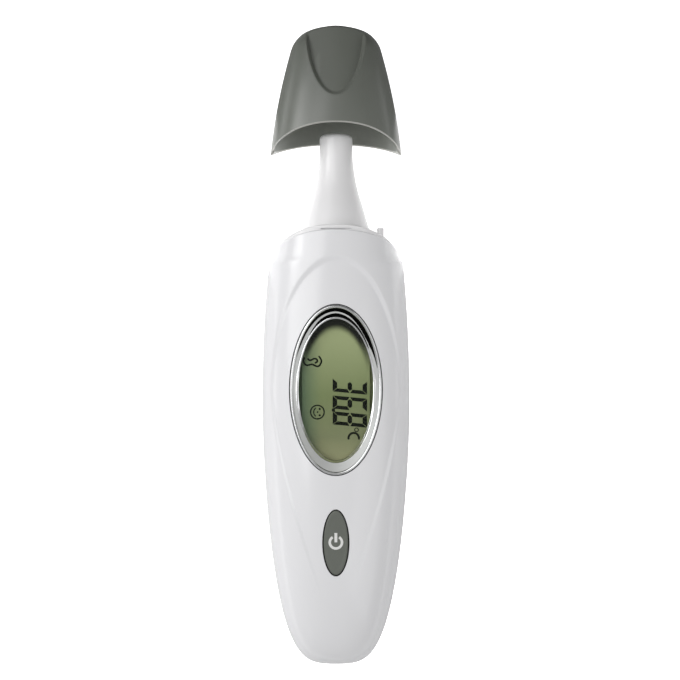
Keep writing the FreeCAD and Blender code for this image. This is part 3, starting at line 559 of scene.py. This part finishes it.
def arc(x, y, radius, first, last, count):
    angle = np.radians(np.linspace(first, last, count))
    return [(x + radius * math.cos(a), y + radius * math.sin(a)) for a in angle]


def stroke(points, width):
    """Outline of a line of constant width with round ends."""
    p = np.array(points, float)
    along = np.gradient(p, axis=0)
    along /= np.linalg.norm(along, axis=1)[:, None]
    side = np.stack([-along[:, 1], along[:, 0]], -1) * width / 2
    outline = list(map(tuple, p + side))
    for end, sign in ((-1, 1), (0, -1)):
        start = math.atan2(side[end][1] * sign, side[end][0] * sign)
        for a in np.linspace(0, math.pi, 9)[1:-1]:
            outline.append((p[end][0] + width / 2 * math.cos(start - a),
                            p[end][1] + width / 2 * math.sin(start - a)))
        if end == -1:
            outline += list(map(tuple, (p - side)[::-1]))
    return outline


def smooth_line(points, count):
    """A denser line through a few points."""
    p = np.array(points, float)
    fine = np.linspace(0, len(p) - 1, count)
    out = []
    for f in fine:
        i = int(min(max(math.floor(f), 0), len(p) - 2))
        a, b, c, d = p[max(i - 1, 0)], p[i], p[i + 1], p[min(i + 2, len(p) - 1)]
        u = f - i
        out.append(0.5 * ((2 * b) + (c - a) * u + (2 * a - 5 * b + 4 * c - d) * u ** 2
                          + (3 * b - a - 3 * c + d) * u ** 3))
    return np.array(out)


EAR_OUTER = [(-1.55, 1.45), (-1.75, 0.75), (-1.4, 0.0), (-0.8, -0.35), (0.3, -0.1), (1.6, -0.6),
             (2.3, -0.2), (2.65, 0.8), (2.1, 1.8)]
EAR_INNER = [(-0.6, 1.2), (-0.1, 0.85), (0.9, 1.3), (1.5, 1.1), (1.65, 0.6), (1.2, 0.25)]
EAR_CENTRE = (-6.2, 20.4)
FACE_CENTRE, FACE_R = (-4.53, 8.62), 1.66
MARK_LOW, MARK_HIGH = 0.005, 0.03


def glyphs(material):
    """Digits, degree sign and marks of the display, as thin dark plates on the glass."""
    outlines = digit("3", 16.89) + digit("6", 12.69) + digit("8", 8.82)
    outlines.append(arc(-0.61, 9.13, 0.42, 0, 345, 24))
    outlines.append(stroke(arc(5.03, 4.29, 0.45, 90, 445, 30), 0.2))
    outlines.append(stroke(arc(4.35, 2.25, 1.28, -5, 185, 24), 0.5))
    for line in (EAR_OUTER, EAR_INNER):
        placed = [(EAR_CENTRE[0] + x, EAR_CENTRE[1] + y) for x, y in line]
        outlines.append(stroke(smooth_line(placed, 40), 0.42))
    x, y = FACE_CENTRE
    outlines.append(stroke(arc(x, y, FACE_R, 90, 448, 60), 0.32))
    outlines += [arc(x + 0.58, y + side * 0.78, 0.26, 0, 345, 20) for side in (-1, 1)]
    outlines.append(arc(x + 0.05, y, 0.2, 0, 345, 16))
    outlines.append(stroke(arc(x + 0.35, y, 1.25, 130, 230, 20), 0.26))
    marks = plate("display_marks", outlines, LCD_TOP + MARK_LOW, LCD_TOP + MARK_HIGH)
    return finish(marks, "body", "lcd_glass", material)


# ---- power button --------------------------------------------------------------------------

def power_button(grey, white):
    low_z = span("power_button")[0][2]
    centre = middle("power_button")
    half_x, half_y = 3.0, 7.9
    stem_r, flange_low, flange_top, flange = 1.3, 21.2, 22.2, 0.9
    sink, dip, ink_top, ink_depth = 0.1, 0.12, 0.03, 0.05
    segments = 128
    angle = np.linspace(0, 2 * math.pi, segments, endpoint=False)
    c, s = np.cos(angle), np.sin(angle)
    rows = []

    def ring(a, b, z):
        rows.append(np.stack([a * c, centre[1] + b * s, z + 0 * c], -1))

    def top_ring(draw, fall):
        x, y = (half_x - draw) * c, (half_y - draw) * s
        z = front_height(x, centre[1] + y, sink) - fall
        rows.append(np.stack([x, centre[1] + y, z], -1))

    ring(stem_r, stem_r, low_z)
    ring(stem_r, stem_r, flange_low)
    ring(half_x + flange, half_y + flange, flange_low)
    ring(half_x + flange, half_y + flange, flange_top)
    ring(half_x, half_y, flange_top)
    edge = 0.35
    for a in np.linspace(0, math.pi / 2, 7):
        top_ring(edge * (1 - math.cos(a)), edge * (1 - math.sin(a)))
    for share in np.linspace(0.0, 0.985, 24)[1:]:
        x, y = (half_x - edge) * (1 - share) * c, (half_y - edge) * (1 - share) * s
        z = front_height(x, centre[1] + y, sink) - dip * smoothstep(share * 4)
        rows.append(np.stack([x, centre[1] + y, z], -1))
    key = rings("power_key_cap", np.stack(rows), 40)
    finish(key, "power_key", "button_grey", grey, "power_button")

    y = centre[1] + 0.15
    mark_r, gap_start, gap_end, bar_length = 1.48, 122, 418, 2.3
    bar = [(0, y + t) for t in np.linspace(0.0, bar_length, 12)]
    points, faces = [], []
    for line, width in ((arc(0, y, mark_r, gap_start, gap_end, 64), 0.62), (bar, 0.7)):
        p = np.array(line)
        along = np.gradient(p, axis=0)
        along /= np.linalg.norm(along, axis=1)[:, None]
        side = np.stack([-along[:, 1], along[:, 0]], -1) * width / 2
        start = len(points)
        for q, d in zip(p, side):
            for edge_point, proud in ((q + d, 0), (q - d, 0), (q - d, 1), (q + d, 1)):
                px, py = edge_point
                level = front_height(px, py, sink) - dip
                points.append((px, py, level + (ink_top if proud else -ink_depth)))
        faces += quads(len(p), 4, start, wrap=True)
        faces += [tuple(range(start, start + 4)), tuple(range(len(points) - 4, len(points)))]
    mark = solid("power_mark", points, faces)
    finish(mark, "power_key", "white_plastic", white)


# ---- probe and collar ----------------------------------------------------------------------

def collar_block(grow, low_y, name, lip):
    """Neck plug under its arched top, with a rounded top edge."""
    columns = 192
    angle = np.linspace(0, 2 * math.pi, columns, endpoint=False)
    half, depth, arch = NECK_HALF + grow, NECK_DEPTH + grow, COLLAR_ARCH + grow
    rows = []

    def ring(share, draw, drop, scale=1.0):
        x, z = on_section(angle, half - draw, depth - draw, depth - draw, FRONT_POWER, FRONT_POWER)
        x, z = x * scale, SEAM_Z + (z - SEAM_Z) * scale
        top = COLLAR_Y + arch * lift(x, half) - drop
        rows.append(np.stack([x, low_y + (top - low_y) * share, z], -1))

    for share in np.linspace(0, 1, 24):
        ring(share, 0, lip)
    for a in np.linspace(0, math.pi / 2, 6)[1:]:
        ring(1, lip * (1 - math.cos(a)), lip * (1 - math.sin(a)))
    for scale in np.linspace(1, 0.02, 40)[1:]:
        ring(1, lip, 0, scale)
    return rings(name, np.stack(rows))


PROBE_FOOT_R = 8.5
PROBE_SIDE = ((4.25, 70.7), (5.2, 64.7), (6.95, 58.7), (7.95, 55.2), (8.6, 53.2))


def probe_profile(thin, tip_y, tip_r, rounding):
    """(radius, y) pairs of the probe from its base to its tip."""
    flank = [(tip_r, tip_y - rounding)] + list(PROBE_SIDE)
    line = smooth_line([(r - thin, y) for r, y in flank], 60)[::-1]
    turn = np.linspace(0, math.pi / 2, 12)[1:]
    start = [(PROBE_FOOT_R - thin, COLLAR_Y - 1)]
    corner = [(tip_r - thin - rounding + rounding * math.cos(a),
               tip_y - rounding + rounding * math.sin(a)) for a in turn]
    return start + [tuple(p) for p in line] + corner


def probe_shell(material):
    tip_y = span("probe_shell")[1][1]
    axis = (0, 0, SEAM_Z)
    tip_r, rounding = 4.07, 1.2
    shell = collar_block(0.0, NECK_LOW_Y, "probe_moulding", 0.3)
    nub = turned("nub", [(0.5 * math.cos(a), 53.1 + 0.5 * math.sin(a))
                         for a in np.linspace(-1.55, 1.55, 17)], (4.5, 0, 22.75), "y", 32)
    cone = turned("probe", probe_profile(0, tip_y, tip_r, rounding), axis, "y", 128)
    combine(shell, [cone, nub], "UNION")
    pin = middle("mode_pin")
    cuts = [collar_block(-NECK_WALL, NECK_LOW_Y - 1, "hollow", 0.2),
            turned("bore", probe_profile(0.9, tip_y - 0.9, tip_r, 0.4), axis, "y", 96),
            turned("lens_seat", [(2.6, tip_y - 2), (2.6, tip_y - 0.1), (2.66, tip_y), (2.7, tip_y + 1)],
                   axis, "y", 128),
            plate("slot", [[(-3.6, 53.05), (3.8, 53.05), (3.8, 53.55), (-3.6, 53.55)]],
                  SEAM_Z + NECK_DEPTH - 0.6, SEAM_Z + NECK_DEPTH + 1),
            turned("pin_hole", [(0.92, 44), (0.92, 57)], (pin[0], 0, pin[2]), "y", 48)]
    combine(shell, cuts, "DIFFERENCE")
    return finish(shell, "body", "probe_plastic", material, "probe_shell")


def pin_spring(material):
    """Real helix for the pin's spring."""
    low, high = span("mode_pin_spring")
    centre = middle("mode_pin_spring")
    wire, turns = 0.12, 5
    radius = (high[0] - low[0]) / 2 - wire
    count, around = turns * 36, 10
    t = np.linspace(0, 1, count)
    angle = 2 * math.pi * turns * t
    ring = np.linspace(0, 2 * math.pi, around, endpoint=False)
    reach = radius + wire * np.cos(ring)[None, :]
    y = (low[1] + wire + (high[1] - low[1] - 2 * wire) * t)[:, None] + wire * np.sin(ring)
    grid = np.stack([centre[0] + reach * np.cos(angle)[:, None], y,
                     centre[2] + reach * np.sin(angle)[:, None]], -1)
    coil = rings("pin_spring_coil", grid)
    finish(coil, "body", "steel", material, "mode_pin_spring")
    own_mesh(coil)


# ---- cap -----------------------------------------------------------------------------------

def cap_section(height, angle, inset):
    turn = np.clip(height - CAP_SHOULDER_FROM, 0, CAP_SHOULDER_R * 0.99)
    shoulder = CAP_SHOULDER_R - np.sqrt(CAP_SHOULDER_R ** 2 - turn ** 2)
    width = CAP_HALF - CAP_TAPER * height - CAP_BOW * height ** 2 - shoulder - inset
    depth = CAP_DEPTH - CAP_DEPTH_TAPER * height - CAP_DEPTH_BOW * height ** 2 - shoulder - inset
    power = 2.35 - 0.35 * np.maximum(0, height) / (CAP_TOP_Y - CAP_RIM_Y)
    return on_section(angle, width, depth, depth, power, power)


def scooped(x, y, z, grow):
    """Lowers the front of the cap into the thumb scoop."""
    top = CAP_TOP_Y
    qx, qy = x / (SCOOP_HALF + grow), (top - y) / (SCOOP_LENGTH + grow)
    q = np.sqrt(qx ** 2 + qy ** 2) + 1e-6
    slope = np.sqrt((qx / (SCOOP_HALF + grow)) ** 2 + (qy / (SCOOP_LENGTH + grow)) ** 2) / q + 1e-6
    inside = (1 - q) / slope
    fall = SCOOP_RISE / SCOOP_LENGTH
    crown = SEAM_Z + SCOOP_CROWN + fall * (top - y)
    core = SCOOP_CORE_R - grow
    floor = crown - SCOOP_CORE_R + np.sqrt(np.maximum(0, core ** 2 - x ** 2))
    blend = smoothstep(inside / 0.95)
    return np.where(z > SEAM_Z, z + blend * (np.minimum(z, floor) - z), z)


def crown_drop(x):
    """How far the crowned top has fallen to either side of the middle."""
    return x ** 2 / (2 * CAP_CROWN_R)


def cap_rib(material):
    """Rib inside the cap that meets the mode pin; its outer side lies in the cap's wall."""
    x0 = middle("mode_pin")[0] - RIB_HALF_X
    angle = np.array([0.0])
    rows = []
    for height in np.linspace(RIB_LOW, RIB_TOP, 9):
        x1 = cap_section(np.array([height]), angle, 0.5 * CAP_WALL)[0][0]
        round_x = np.array([x0 + 0.2, x1, x1, x0 + 0.2, x0, x0])
        round_z = RIB_HALF_Z * np.array([-1, -1, 1, 1, 0.7, -0.7])
        rows.append(np.stack([round_x, np.full(6, CAP_RIM_Y + height), SEAM_Z + round_z], -1))
    rib = rings("cap_rib", np.stack(rows))
    return finish(rib, "cap", "grey_plastic", material)


def cap_shell(material, rim_highlight_paint, lit_inside_paint):
    columns = 360
    angle = np.linspace(0, 2 * math.pi, columns, endpoint=False) + 0.5 * math.pi / columns
    full = CAP_TOP_Y - CAP_RIM_Y
    rows = []

    def rim_y(x):
        arch = np.where(np.sin(angle) >= 0, CAP_FRONT_ARCH, CAP_REAR_ARCH)
        return arch * lift(x, CAP_HALF)

    def wall_ring(share, inset, rise, top, grow):
        height = np.full(columns, share * top)
        for _ in range(8):
            x, z = cap_section(height, angle, inset)
            low = rim_y(x) + rise
            height = low + share * (top - low)
        y = CAP_RIM_Y + height
        rows.append(np.stack([x, y, scooped(x, y, z, grow)], -1))

    lip = 0.3
    turn = np.linspace(math.pi / 2, 0, 6)
    for a in turn:
        wall_ring(0, lip * (1 - math.cos(a)), lip * (1 - math.sin(a)), full, 0)
    for share in np.linspace(0, 1, 180)[1:]:
        wall_ring(share, 0, lip, full - 0.02, 0)
    for ring in rows:
        ring[:, 1] = CAP_TOP_Y - soft_max(CAP_TOP_Y - ring[:, 1], crown_drop(ring[:, 0]), 0.35)
    edge = rows[-1]
    polar = np.arctan2(edge[:, 2] - SEAM_Z, edge[:, 0])
    hole = np.stack([APERTURE_R * np.cos(polar), edge[:, 1], SEAM_Z + APERTURE_R * np.sin(polar)], -1)
    round_r = 0.25
    for share in np.linspace(0, 1, 10)[1:]:
        ring = edge + (hole - edge) * share
        reach = np.hypot(ring[:, 0], ring[:, 2] - SEAM_Z)
        near = np.clip(1 - (reach - APERTURE_R) / round_r, 0, 1)
        ring[:, 1] = CAP_TOP_Y - crown_drop(ring[:, 0]) - round_r * (1 - np.sqrt(1 - near ** 2))
        rows.append(ring)
    bottom = hole.copy()
    bottom[:, 1] = CAP_TOP_Y - CAP_TOP_WALL
    rows.append(bottom)
    first_inner = len(rows)
    for share in np.linspace(1, 0, 60):
        wall_ring(share, CAP_WALL, lip, full - CAP_TOP_WALL, CAP_WALL)
    for a in turn[::-1][1:-1]:
        wall_ring(0, CAP_WALL - lip * (1 - math.cos(a)), lip * (1 - math.sin(a)), full, CAP_WALL)
    cap = tube_grid("cap_moulding", np.stack(rows))
    finish(cap, "cap", "grey_plastic", material, "cap_shell")
    cap_rib(lit_inside_paint)
    cap.data.materials.append(rim_highlight_paint)
    cap.data.materials.append(lit_inside_paint)
    for face in cap.data.polygons:
        low, high = min(face.vertices) // columns, max(face.vertices) // columns
        # Inner faces get a lighter copy of the cap's grey, painted light inside the cap.
        if low >= first_inner:
            face.material_index = 2
        # Rounded rim faces get a lighter grey, a painted highlight along the lip.
        if high <= 5 or low >= len(rows) - 5 or (low == 0 and high == len(rows) - 1):
            face.material_index = 1
    return cap


# ---- materials -----------------------------------------------------------------------------

def shader(name, colour, roughness, vary=0.03, scale=90.0, bump=0.0, bump_scale=2500.0,
           rough_vary=0.04, **sockets):
    """Principled material with slight mottling of colour and gloss and a fine moulded grain."""
    material = bpy.data.materials.new(name)
    material.use_nodes = True
    nodes, links = material.node_tree.nodes, material.node_tree.links
    base = nodes["Principled BSDF"]
    place = nodes.new("ShaderNodeTexCoord")
    noise = nodes.new("ShaderNodeTexNoise")
    noise.inputs["Scale"].default_value = scale
    noise.inputs["Detail"].default_value = 4
    ramp = nodes.new("ShaderNodeMapRange")
    ramp.inputs["To Min"].default_value = roughness - rough_vary
    ramp.inputs["To Max"].default_value = roughness + rough_vary
    tint = nodes.new("ShaderNodeMix")
    tint.data_type = "RGBA"
    tint.inputs["A"].default_value = (*[c * (1 - vary) for c in colour], 1)
    tint.inputs["B"].default_value = (*[min(1, c * (1 + vary)) for c in colour], 1)
    links.new(place.outputs["Object"], noise.inputs["Vector"])
    links.new(noise.outputs["Fac"], ramp.inputs["Value"])
    links.new(noise.outputs["Fac"], tint.inputs["Factor"])
    links.new(tint.outputs["Result"], base.inputs["Base Color"])
    links.new(ramp.outputs["Result"], base.inputs["Roughness"])
    if bump:
        grain = nodes.new("ShaderNodeTexNoise")
        grain.inputs["Scale"].default_value = bump_scale
        grain.inputs["Detail"].default_value = 3
        relief = nodes.new("ShaderNodeBump")
        relief.inputs["Strength"].default_value = bump
        relief.inputs["Distance"].default_value = 0.00002
        links.new(place.outputs["Object"], grain.inputs["Vector"])
        links.new(grain.outputs["Fac"], relief.inputs["Height"])
        links.new(relief.outputs["Normal"], base.inputs["Normal"])
    for socket, value in sockets.items():
        base.inputs[socket.replace("_", " ")].default_value = value
    return material


def lcd_material():
    """Reflective display: warmer at its foot, lighter at its top as painted light, green-blue at its left
    edge, and darkened inside its top edge as a painted shadow of the ring.
    """
    material = shader("lcd_glass", (0.3, 0.34, 0.2), 0.35, Specular_IOR_Level=0.2)
    nodes, links = material.node_tree.nodes, material.node_tree.links
    base = nodes["Principled BSDF"]
    place = nodes["Texture Coordinate"]
    parts = nodes.new("ShaderNodeSeparateXYZ")
    links.new(place.outputs["Object"], parts.inputs["Vector"])
    along = nodes.new("ShaderNodeMapRange")
    along.inputs["From Min"].default_value = (DISPLAY_Y - WINDOW_HALF[1]) * MM
    along.inputs["From Max"].default_value = (DISPLAY_Y + WINDOW_HALF[1]) * MM
    links.new(parts.outputs["Y"], along.inputs["Value"])
    # Colours along the display from foot to top; the lighter top is painted light.
    ramp = nodes.new("ShaderNodeValToRGB")
    stops = ((0.0, (0.46, 0.47, 0.26)), (0.16, (0.29, 0.32, 0.17)), (0.45, (0.27, 0.33, 0.145)),
             (0.85, (0.48, 0.55, 0.285)))
    while len(ramp.color_ramp.elements) < len(stops):
        ramp.color_ramp.elements.new(0.5)
    for element, (position, colour) in zip(ramp.color_ramp.elements, stops):
        element.position = position
        element.color = (*colour, 1)
    links.new(along.outputs["Result"], ramp.inputs["Fac"])
    across = nodes.new("ShaderNodeMapRange")
    across.inputs["From Min"].default_value = -WINDOW_HALF[0] * MM
    across.inputs["From Max"].default_value = -0.4 * WINDOW_HALF[0] * MM
    across.inputs["To Min"].default_value = 0.75
    across.inputs["To Max"].default_value = 0.0
    links.new(parts.outputs["X"], across.inputs["Value"])
    # Painted shadow: the display is darkened near the top of its rim, standing in for the shade that the
    # ring casts on it.
    round_place = nodes.new("ShaderNodeMapping")
    wide, tall, shadow_shift = WINDOW_HALF[0] + 0.1, WINDOW_HALF[1] + 0.4, 0.045
    round_place.inputs["Location"].default_value = (0, -DISPLAY_Y / tall + shadow_shift, 0)
    round_place.inputs["Scale"].default_value = (1 / wide / MM, 1 / tall / MM, 0)
    links.new(place.outputs["Object"], round_place.inputs["Vector"])
    reach = nodes.new("ShaderNodeVectorMath")
    reach.operation = "LENGTH"
    links.new(round_place.outputs["Vector"], reach.inputs[0])
    near_edge = nodes.new("ShaderNodeMapRange")
    near_edge.interpolation_type = "SMOOTHSTEP"
    near_edge.inputs["From Min"].default_value = 0.84
    near_edge.inputs["From Max"].default_value = 0.96
    links.new(reach.outputs["Value"], near_edge.inputs["Value"])
    high_up = nodes.new("ShaderNodeMapRange")
    high_up.interpolation_type = "SMOOTHSTEP"
    high_up.inputs["From Min"].default_value = (DISPLAY_Y + 0.15 * WINDOW_HALF[1]) * MM
    high_up.inputs["From Max"].default_value = (DISPLAY_Y + 0.75 * WINDOW_HALF[1]) * MM
    links.new(parts.outputs["Y"], high_up.inputs["Value"])
    painted_shadow_mask = nodes.new("ShaderNodeMath")
    painted_shadow_mask.operation = "MULTIPLY"
    links.new(near_edge.outputs["Result"], painted_shadow_mask.inputs[0])
    links.new(high_up.outputs["Result"], painted_shadow_mask.inputs[1])
    shade = nodes.new("ShaderNodeMix")
    shade.data_type = "RGBA"
    shade.inputs["B"].default_value = (0.008, 0.009, 0.006, 1)
    links.new(painted_shadow_mask.outputs["Value"], shade.inputs["Factor"])
    side = nodes.new("ShaderNodeMix")
    side.data_type = "RGBA"
    side.inputs["B"].default_value = (0.14, 0.25, 0.17, 1)
    links.new(across.outputs["Result"], side.inputs["Factor"])
    links.new(ramp.outputs["Color"], side.inputs["A"])
    links.new(side.outputs["Result"], shade.inputs["A"])
    links.new(shade.outputs["Result"], base.inputs["Base Color"])
    return material


WHITE = shader("white_gloss", (0.83, 0.83, 0.845), 0.24, 0.012, 60, 0.12, 900, 0.03, Coat_Weight=0.35,
               Coat_Roughness=0.12)
PROBE = shader("probe_white", (0.88, 0.875, 0.88), 0.3, 0.012, 80, 0.1, 1500, 0.03, Coat_Weight=0.2)
GREY = shader("cap_grey", (0.158, 0.168, 0.148), 0.32, 0.04, 140, 0.25, 2600, 0.05,
              Specular_IOR_Level=0.75)
# Lighter copy of the cap's grey for its inside and rib: painted light.
INSIDE_PAINTED_LIGHT = shader("cap_inside_painted_light", (0.235, 0.245, 0.22), 0.4, 0.08, 140, 0.25, 2600, 0.05)
# Lighter grey for the cap's rim, a painted highlight.
RIM_PAINTED_HIGHLIGHT = shader("cap_rim_painted_highlight", (0.42, 0.42, 0.39), 0.35, 0.05, 300, 0.1)
BUTTON = shader("button_grey", (0.14, 0.15, 0.13), 0.42, 0.04, 300, 0.25, 3500, 0.05)
CHROME = shader("chrome_ring", (0.80, 0.81, 0.81), 0.1, 0.02, 500, 0.06, 4000, 0.03, Metallic=1.0)
SATIN = shader("chrome_satin", (0.68, 0.69, 0.68), 0.7, 0.03, 700, 0.1, 4000, 0.04, Metallic=1.0)
# Flat black for the bezel's steps, a painted dark reflection.
PAINTED_DARK_REFLECTION = shader("bezel_painted_dark_reflection", (0.003, 0.003, 0.0028), 0.4, 0.1, 700, Specular_IOR_Level=0.0)
MARK_DARK = shader("display_ink", (0.006, 0.008, 0.005), 0.5, 0.1, 900, Specular_IOR_Level=0.0)
MARK_WHITE = shader("power_ink", (0.8, 0.8, 0.78), 0.4, 0.02, 900)
WINDOW = shader("window_clear", (0.05, 0.06, 0.045), 0.06, 0.01, 90, rough_vary=0.02, Alpha=0.08)
METAL = shader("bright_steel", (0.6, 0.6, 0.6), 0.28, 0.06, 700, 0.2, 5000, 0.08, Metallic=1.0)
SLOTS = {
    "white_plastic": WHITE, "probe_plastic": PROBE, "pin_plastic": PROBE, "grey_plastic": GREY,
    "button_grey": BUTTON, "chrome": CHROME, "clear_window": WINDOW, "lcd_glass": lcd_material(),
    "lcd_frame": shader("frame_white", (0.6, 0.6, 0.57), 0.5, 0.03, 200, 0.2),
    "conductive_rubber": shader("zebra_rubber", (0.05, 0.05, 0.055), 0.7, 0.4, 3000, 0.4),
    "board": shader("solder_mask", (0.02, 0.13, 0.05), 0.35, 0.25, 600, 0.2),
    "epoxy": shader("epoxy_black", (0.012, 0.012, 0.012), 0.3, 0.2, 400, 0.3),
    "chip_parts": shader("chip_ceramic", (0.3, 0.22, 0.13), 0.55, 0.2, 1500, 0.3),
    "steel": METAL, "cell_steel": METAL,
    "switch_case": shader("switch_black", (0.02, 0.02, 0.02), 0.45, 0.1, 500, 0.3),
    "plunger": shader("plunger_ivory", (0.5, 0.46, 0.36), 0.5, 0.05, 500, 0.2),
    "sensor_metal": shader("sensor_aluminium", (0.65, 0.65, 0.66), 0.3, 0.05, 900, 0.3, Metallic=1.0),
    "infrared_window": shader("coated_silicon", (0.02, 0.018, 0.03), 0.12, 0.2, 500),
    "flex": shader("polyimide", (0.42, 0.16, 0.02), 0.35, 0.1, 600, 0.2),
}


def dress_nodes():
    """Puts a procedural material on every CAD node, by its slot in the record."""
    for part in frame["record"]["subparts"]:
        node = frame["nodes"][part["node"]]
        for place in node.material_slots:
            place.material = SLOTS[part["material_slot"]]


# ---- studio --------------------------------------------------------------------------------

AIM = (0, 0.02, 0.013)


def area_light(name, place, size, power):
    light = bpy.data.lights.new(name, "AREA")
    light.shape = "RECTANGLE"
    light.size, light.size_y = size
    light.energy = power
    lamp = bpy.data.objects.new(name, light)
    bpy.context.scene.collection.objects.link(lamp)
    lamp.location = place
    aim = np.array(AIM) - np.array(place)
    lamp.rotation_euler = Vector(aim).to_track_quat("-Z", "Y").to_euler()
    return lamp


def flat_corners(x0, x1, y0, y1, z):
    return [(x0, y0, z), (x1, y0, z), (x1, y1, z), (x0, y1, z)]


def card(name, corners, grey):
    """Flag that shades the object and shows in its reflections, but isn't itself in view."""
    paper = bpy.data.materials.new(name)
    paper.use_nodes = True
    base = paper.node_tree.nodes["Principled BSDF"]
    base.inputs["Base Color"].default_value = (grey, grey, grey, 1)
    base.inputs["Roughness"].default_value = 1.0
    base.inputs["Specular IOR Level"].default_value = 0.0
    mesh = bpy.data.meshes.new(name)
    mesh.from_pydata(corners, [], [(0, 1, 2, 3)])
    mesh.materials.append(paper)
    flag = bpy.data.objects.new(name, mesh)
    bpy.context.scene.collection.objects.link(flag)
    flag.visible_camera = False
    flag.visible_shadow = False


def studio():
    floor = bpy.data.materials.new("floor_white")
    floor.use_nodes = True
    base = floor.node_tree.nodes["Principled BSDF"]
    base.inputs["Base Color"].default_value = (0.9, 0.9, 0.9, 1)
    base.inputs["Roughness"].default_value = 0.8
    base.inputs["Emission Color"].default_value = (1, 1, 1, 1)
    base.inputs["Emission Strength"].default_value = 0.9
    size, floor_z, card_z = 1.5, -0.0002, -0.0001
    mesh = bpy.data.meshes.new("floor")
    mesh.from_pydata(flat_corners(-size, size, -size, size, floor_z), [], [(0, 1, 2, 3)])
    mesh.materials.append(floor)
    plane = bpy.data.objects.new("floor", mesh)
    bpy.context.scene.collection.objects.link(plane)

    card("shade_card", flat_corners(-0.12, 0.16, -0.2, 0.045, card_z), 0.85)
    card("cap_card", flat_corners(-0.07, 0.12, 0.085, 0.16, card_z), 0.3)
    half, y, height = 0.09, 0.125, 0.12
    card("top_card", [(-half, y, 0.0), (half, y, 0.0), (half, y, height), (-half, y, height)], 0.02)

    world = bpy.data.worlds.new("studio")
    world.use_nodes = True
    sky = world.node_tree.nodes["Background"]
    sky.inputs["Color"].default_value = (1, 1, 1, 1)
    sky.inputs["Strength"].default_value = 0.40
    bpy.context.scene.world = world
    area_light("key", (-0.28, 0.19, 0.42), (0.50, 0.40), 1.40)
    area_light("strip", (-0.44, 0.22, 0.30), (0.12, 0.20), 0.30)
    area_light("fill", (0.30, -0.12, 0.40), (0.4, 0.4), 0.36)
    bpy.context.scene.view_settings.view_transform = "Standard"


def camera():
    """Straight above the object, its long axis upright in the frame."""
    lens = bpy.data.cameras.new("camera")
    lens.sensor_width = 36.0
    lens.lens = 84.7
    lens.clip_start, lens.clip_end = 0.01, 10
    view = bpy.data.objects.new("camera", lens)
    bpy.context.scene.collection.objects.link(view)
    view.location = (0.001, 0.02625, SEAM_Z * MM + 0.4)
    view.rotation_euler = (0, 0, 0)
    bpy.context.scene.camera = view


dress_nodes()
front_cover(WHITE)
rear_cover(WHITE)
bezel(CHROME, SATIN, PAINTED_DARK_REFLECTION)
glyphs(MARK_DARK)
power_button(BUTTON, MARK_WHITE)
probe_shell(PROBE)
pin_spring(METAL)
cap_shell(GREY, RIM_PAINTED_HIGHLIGHT, INSIDE_PAINTED_LIGHT)
studio()
camera()
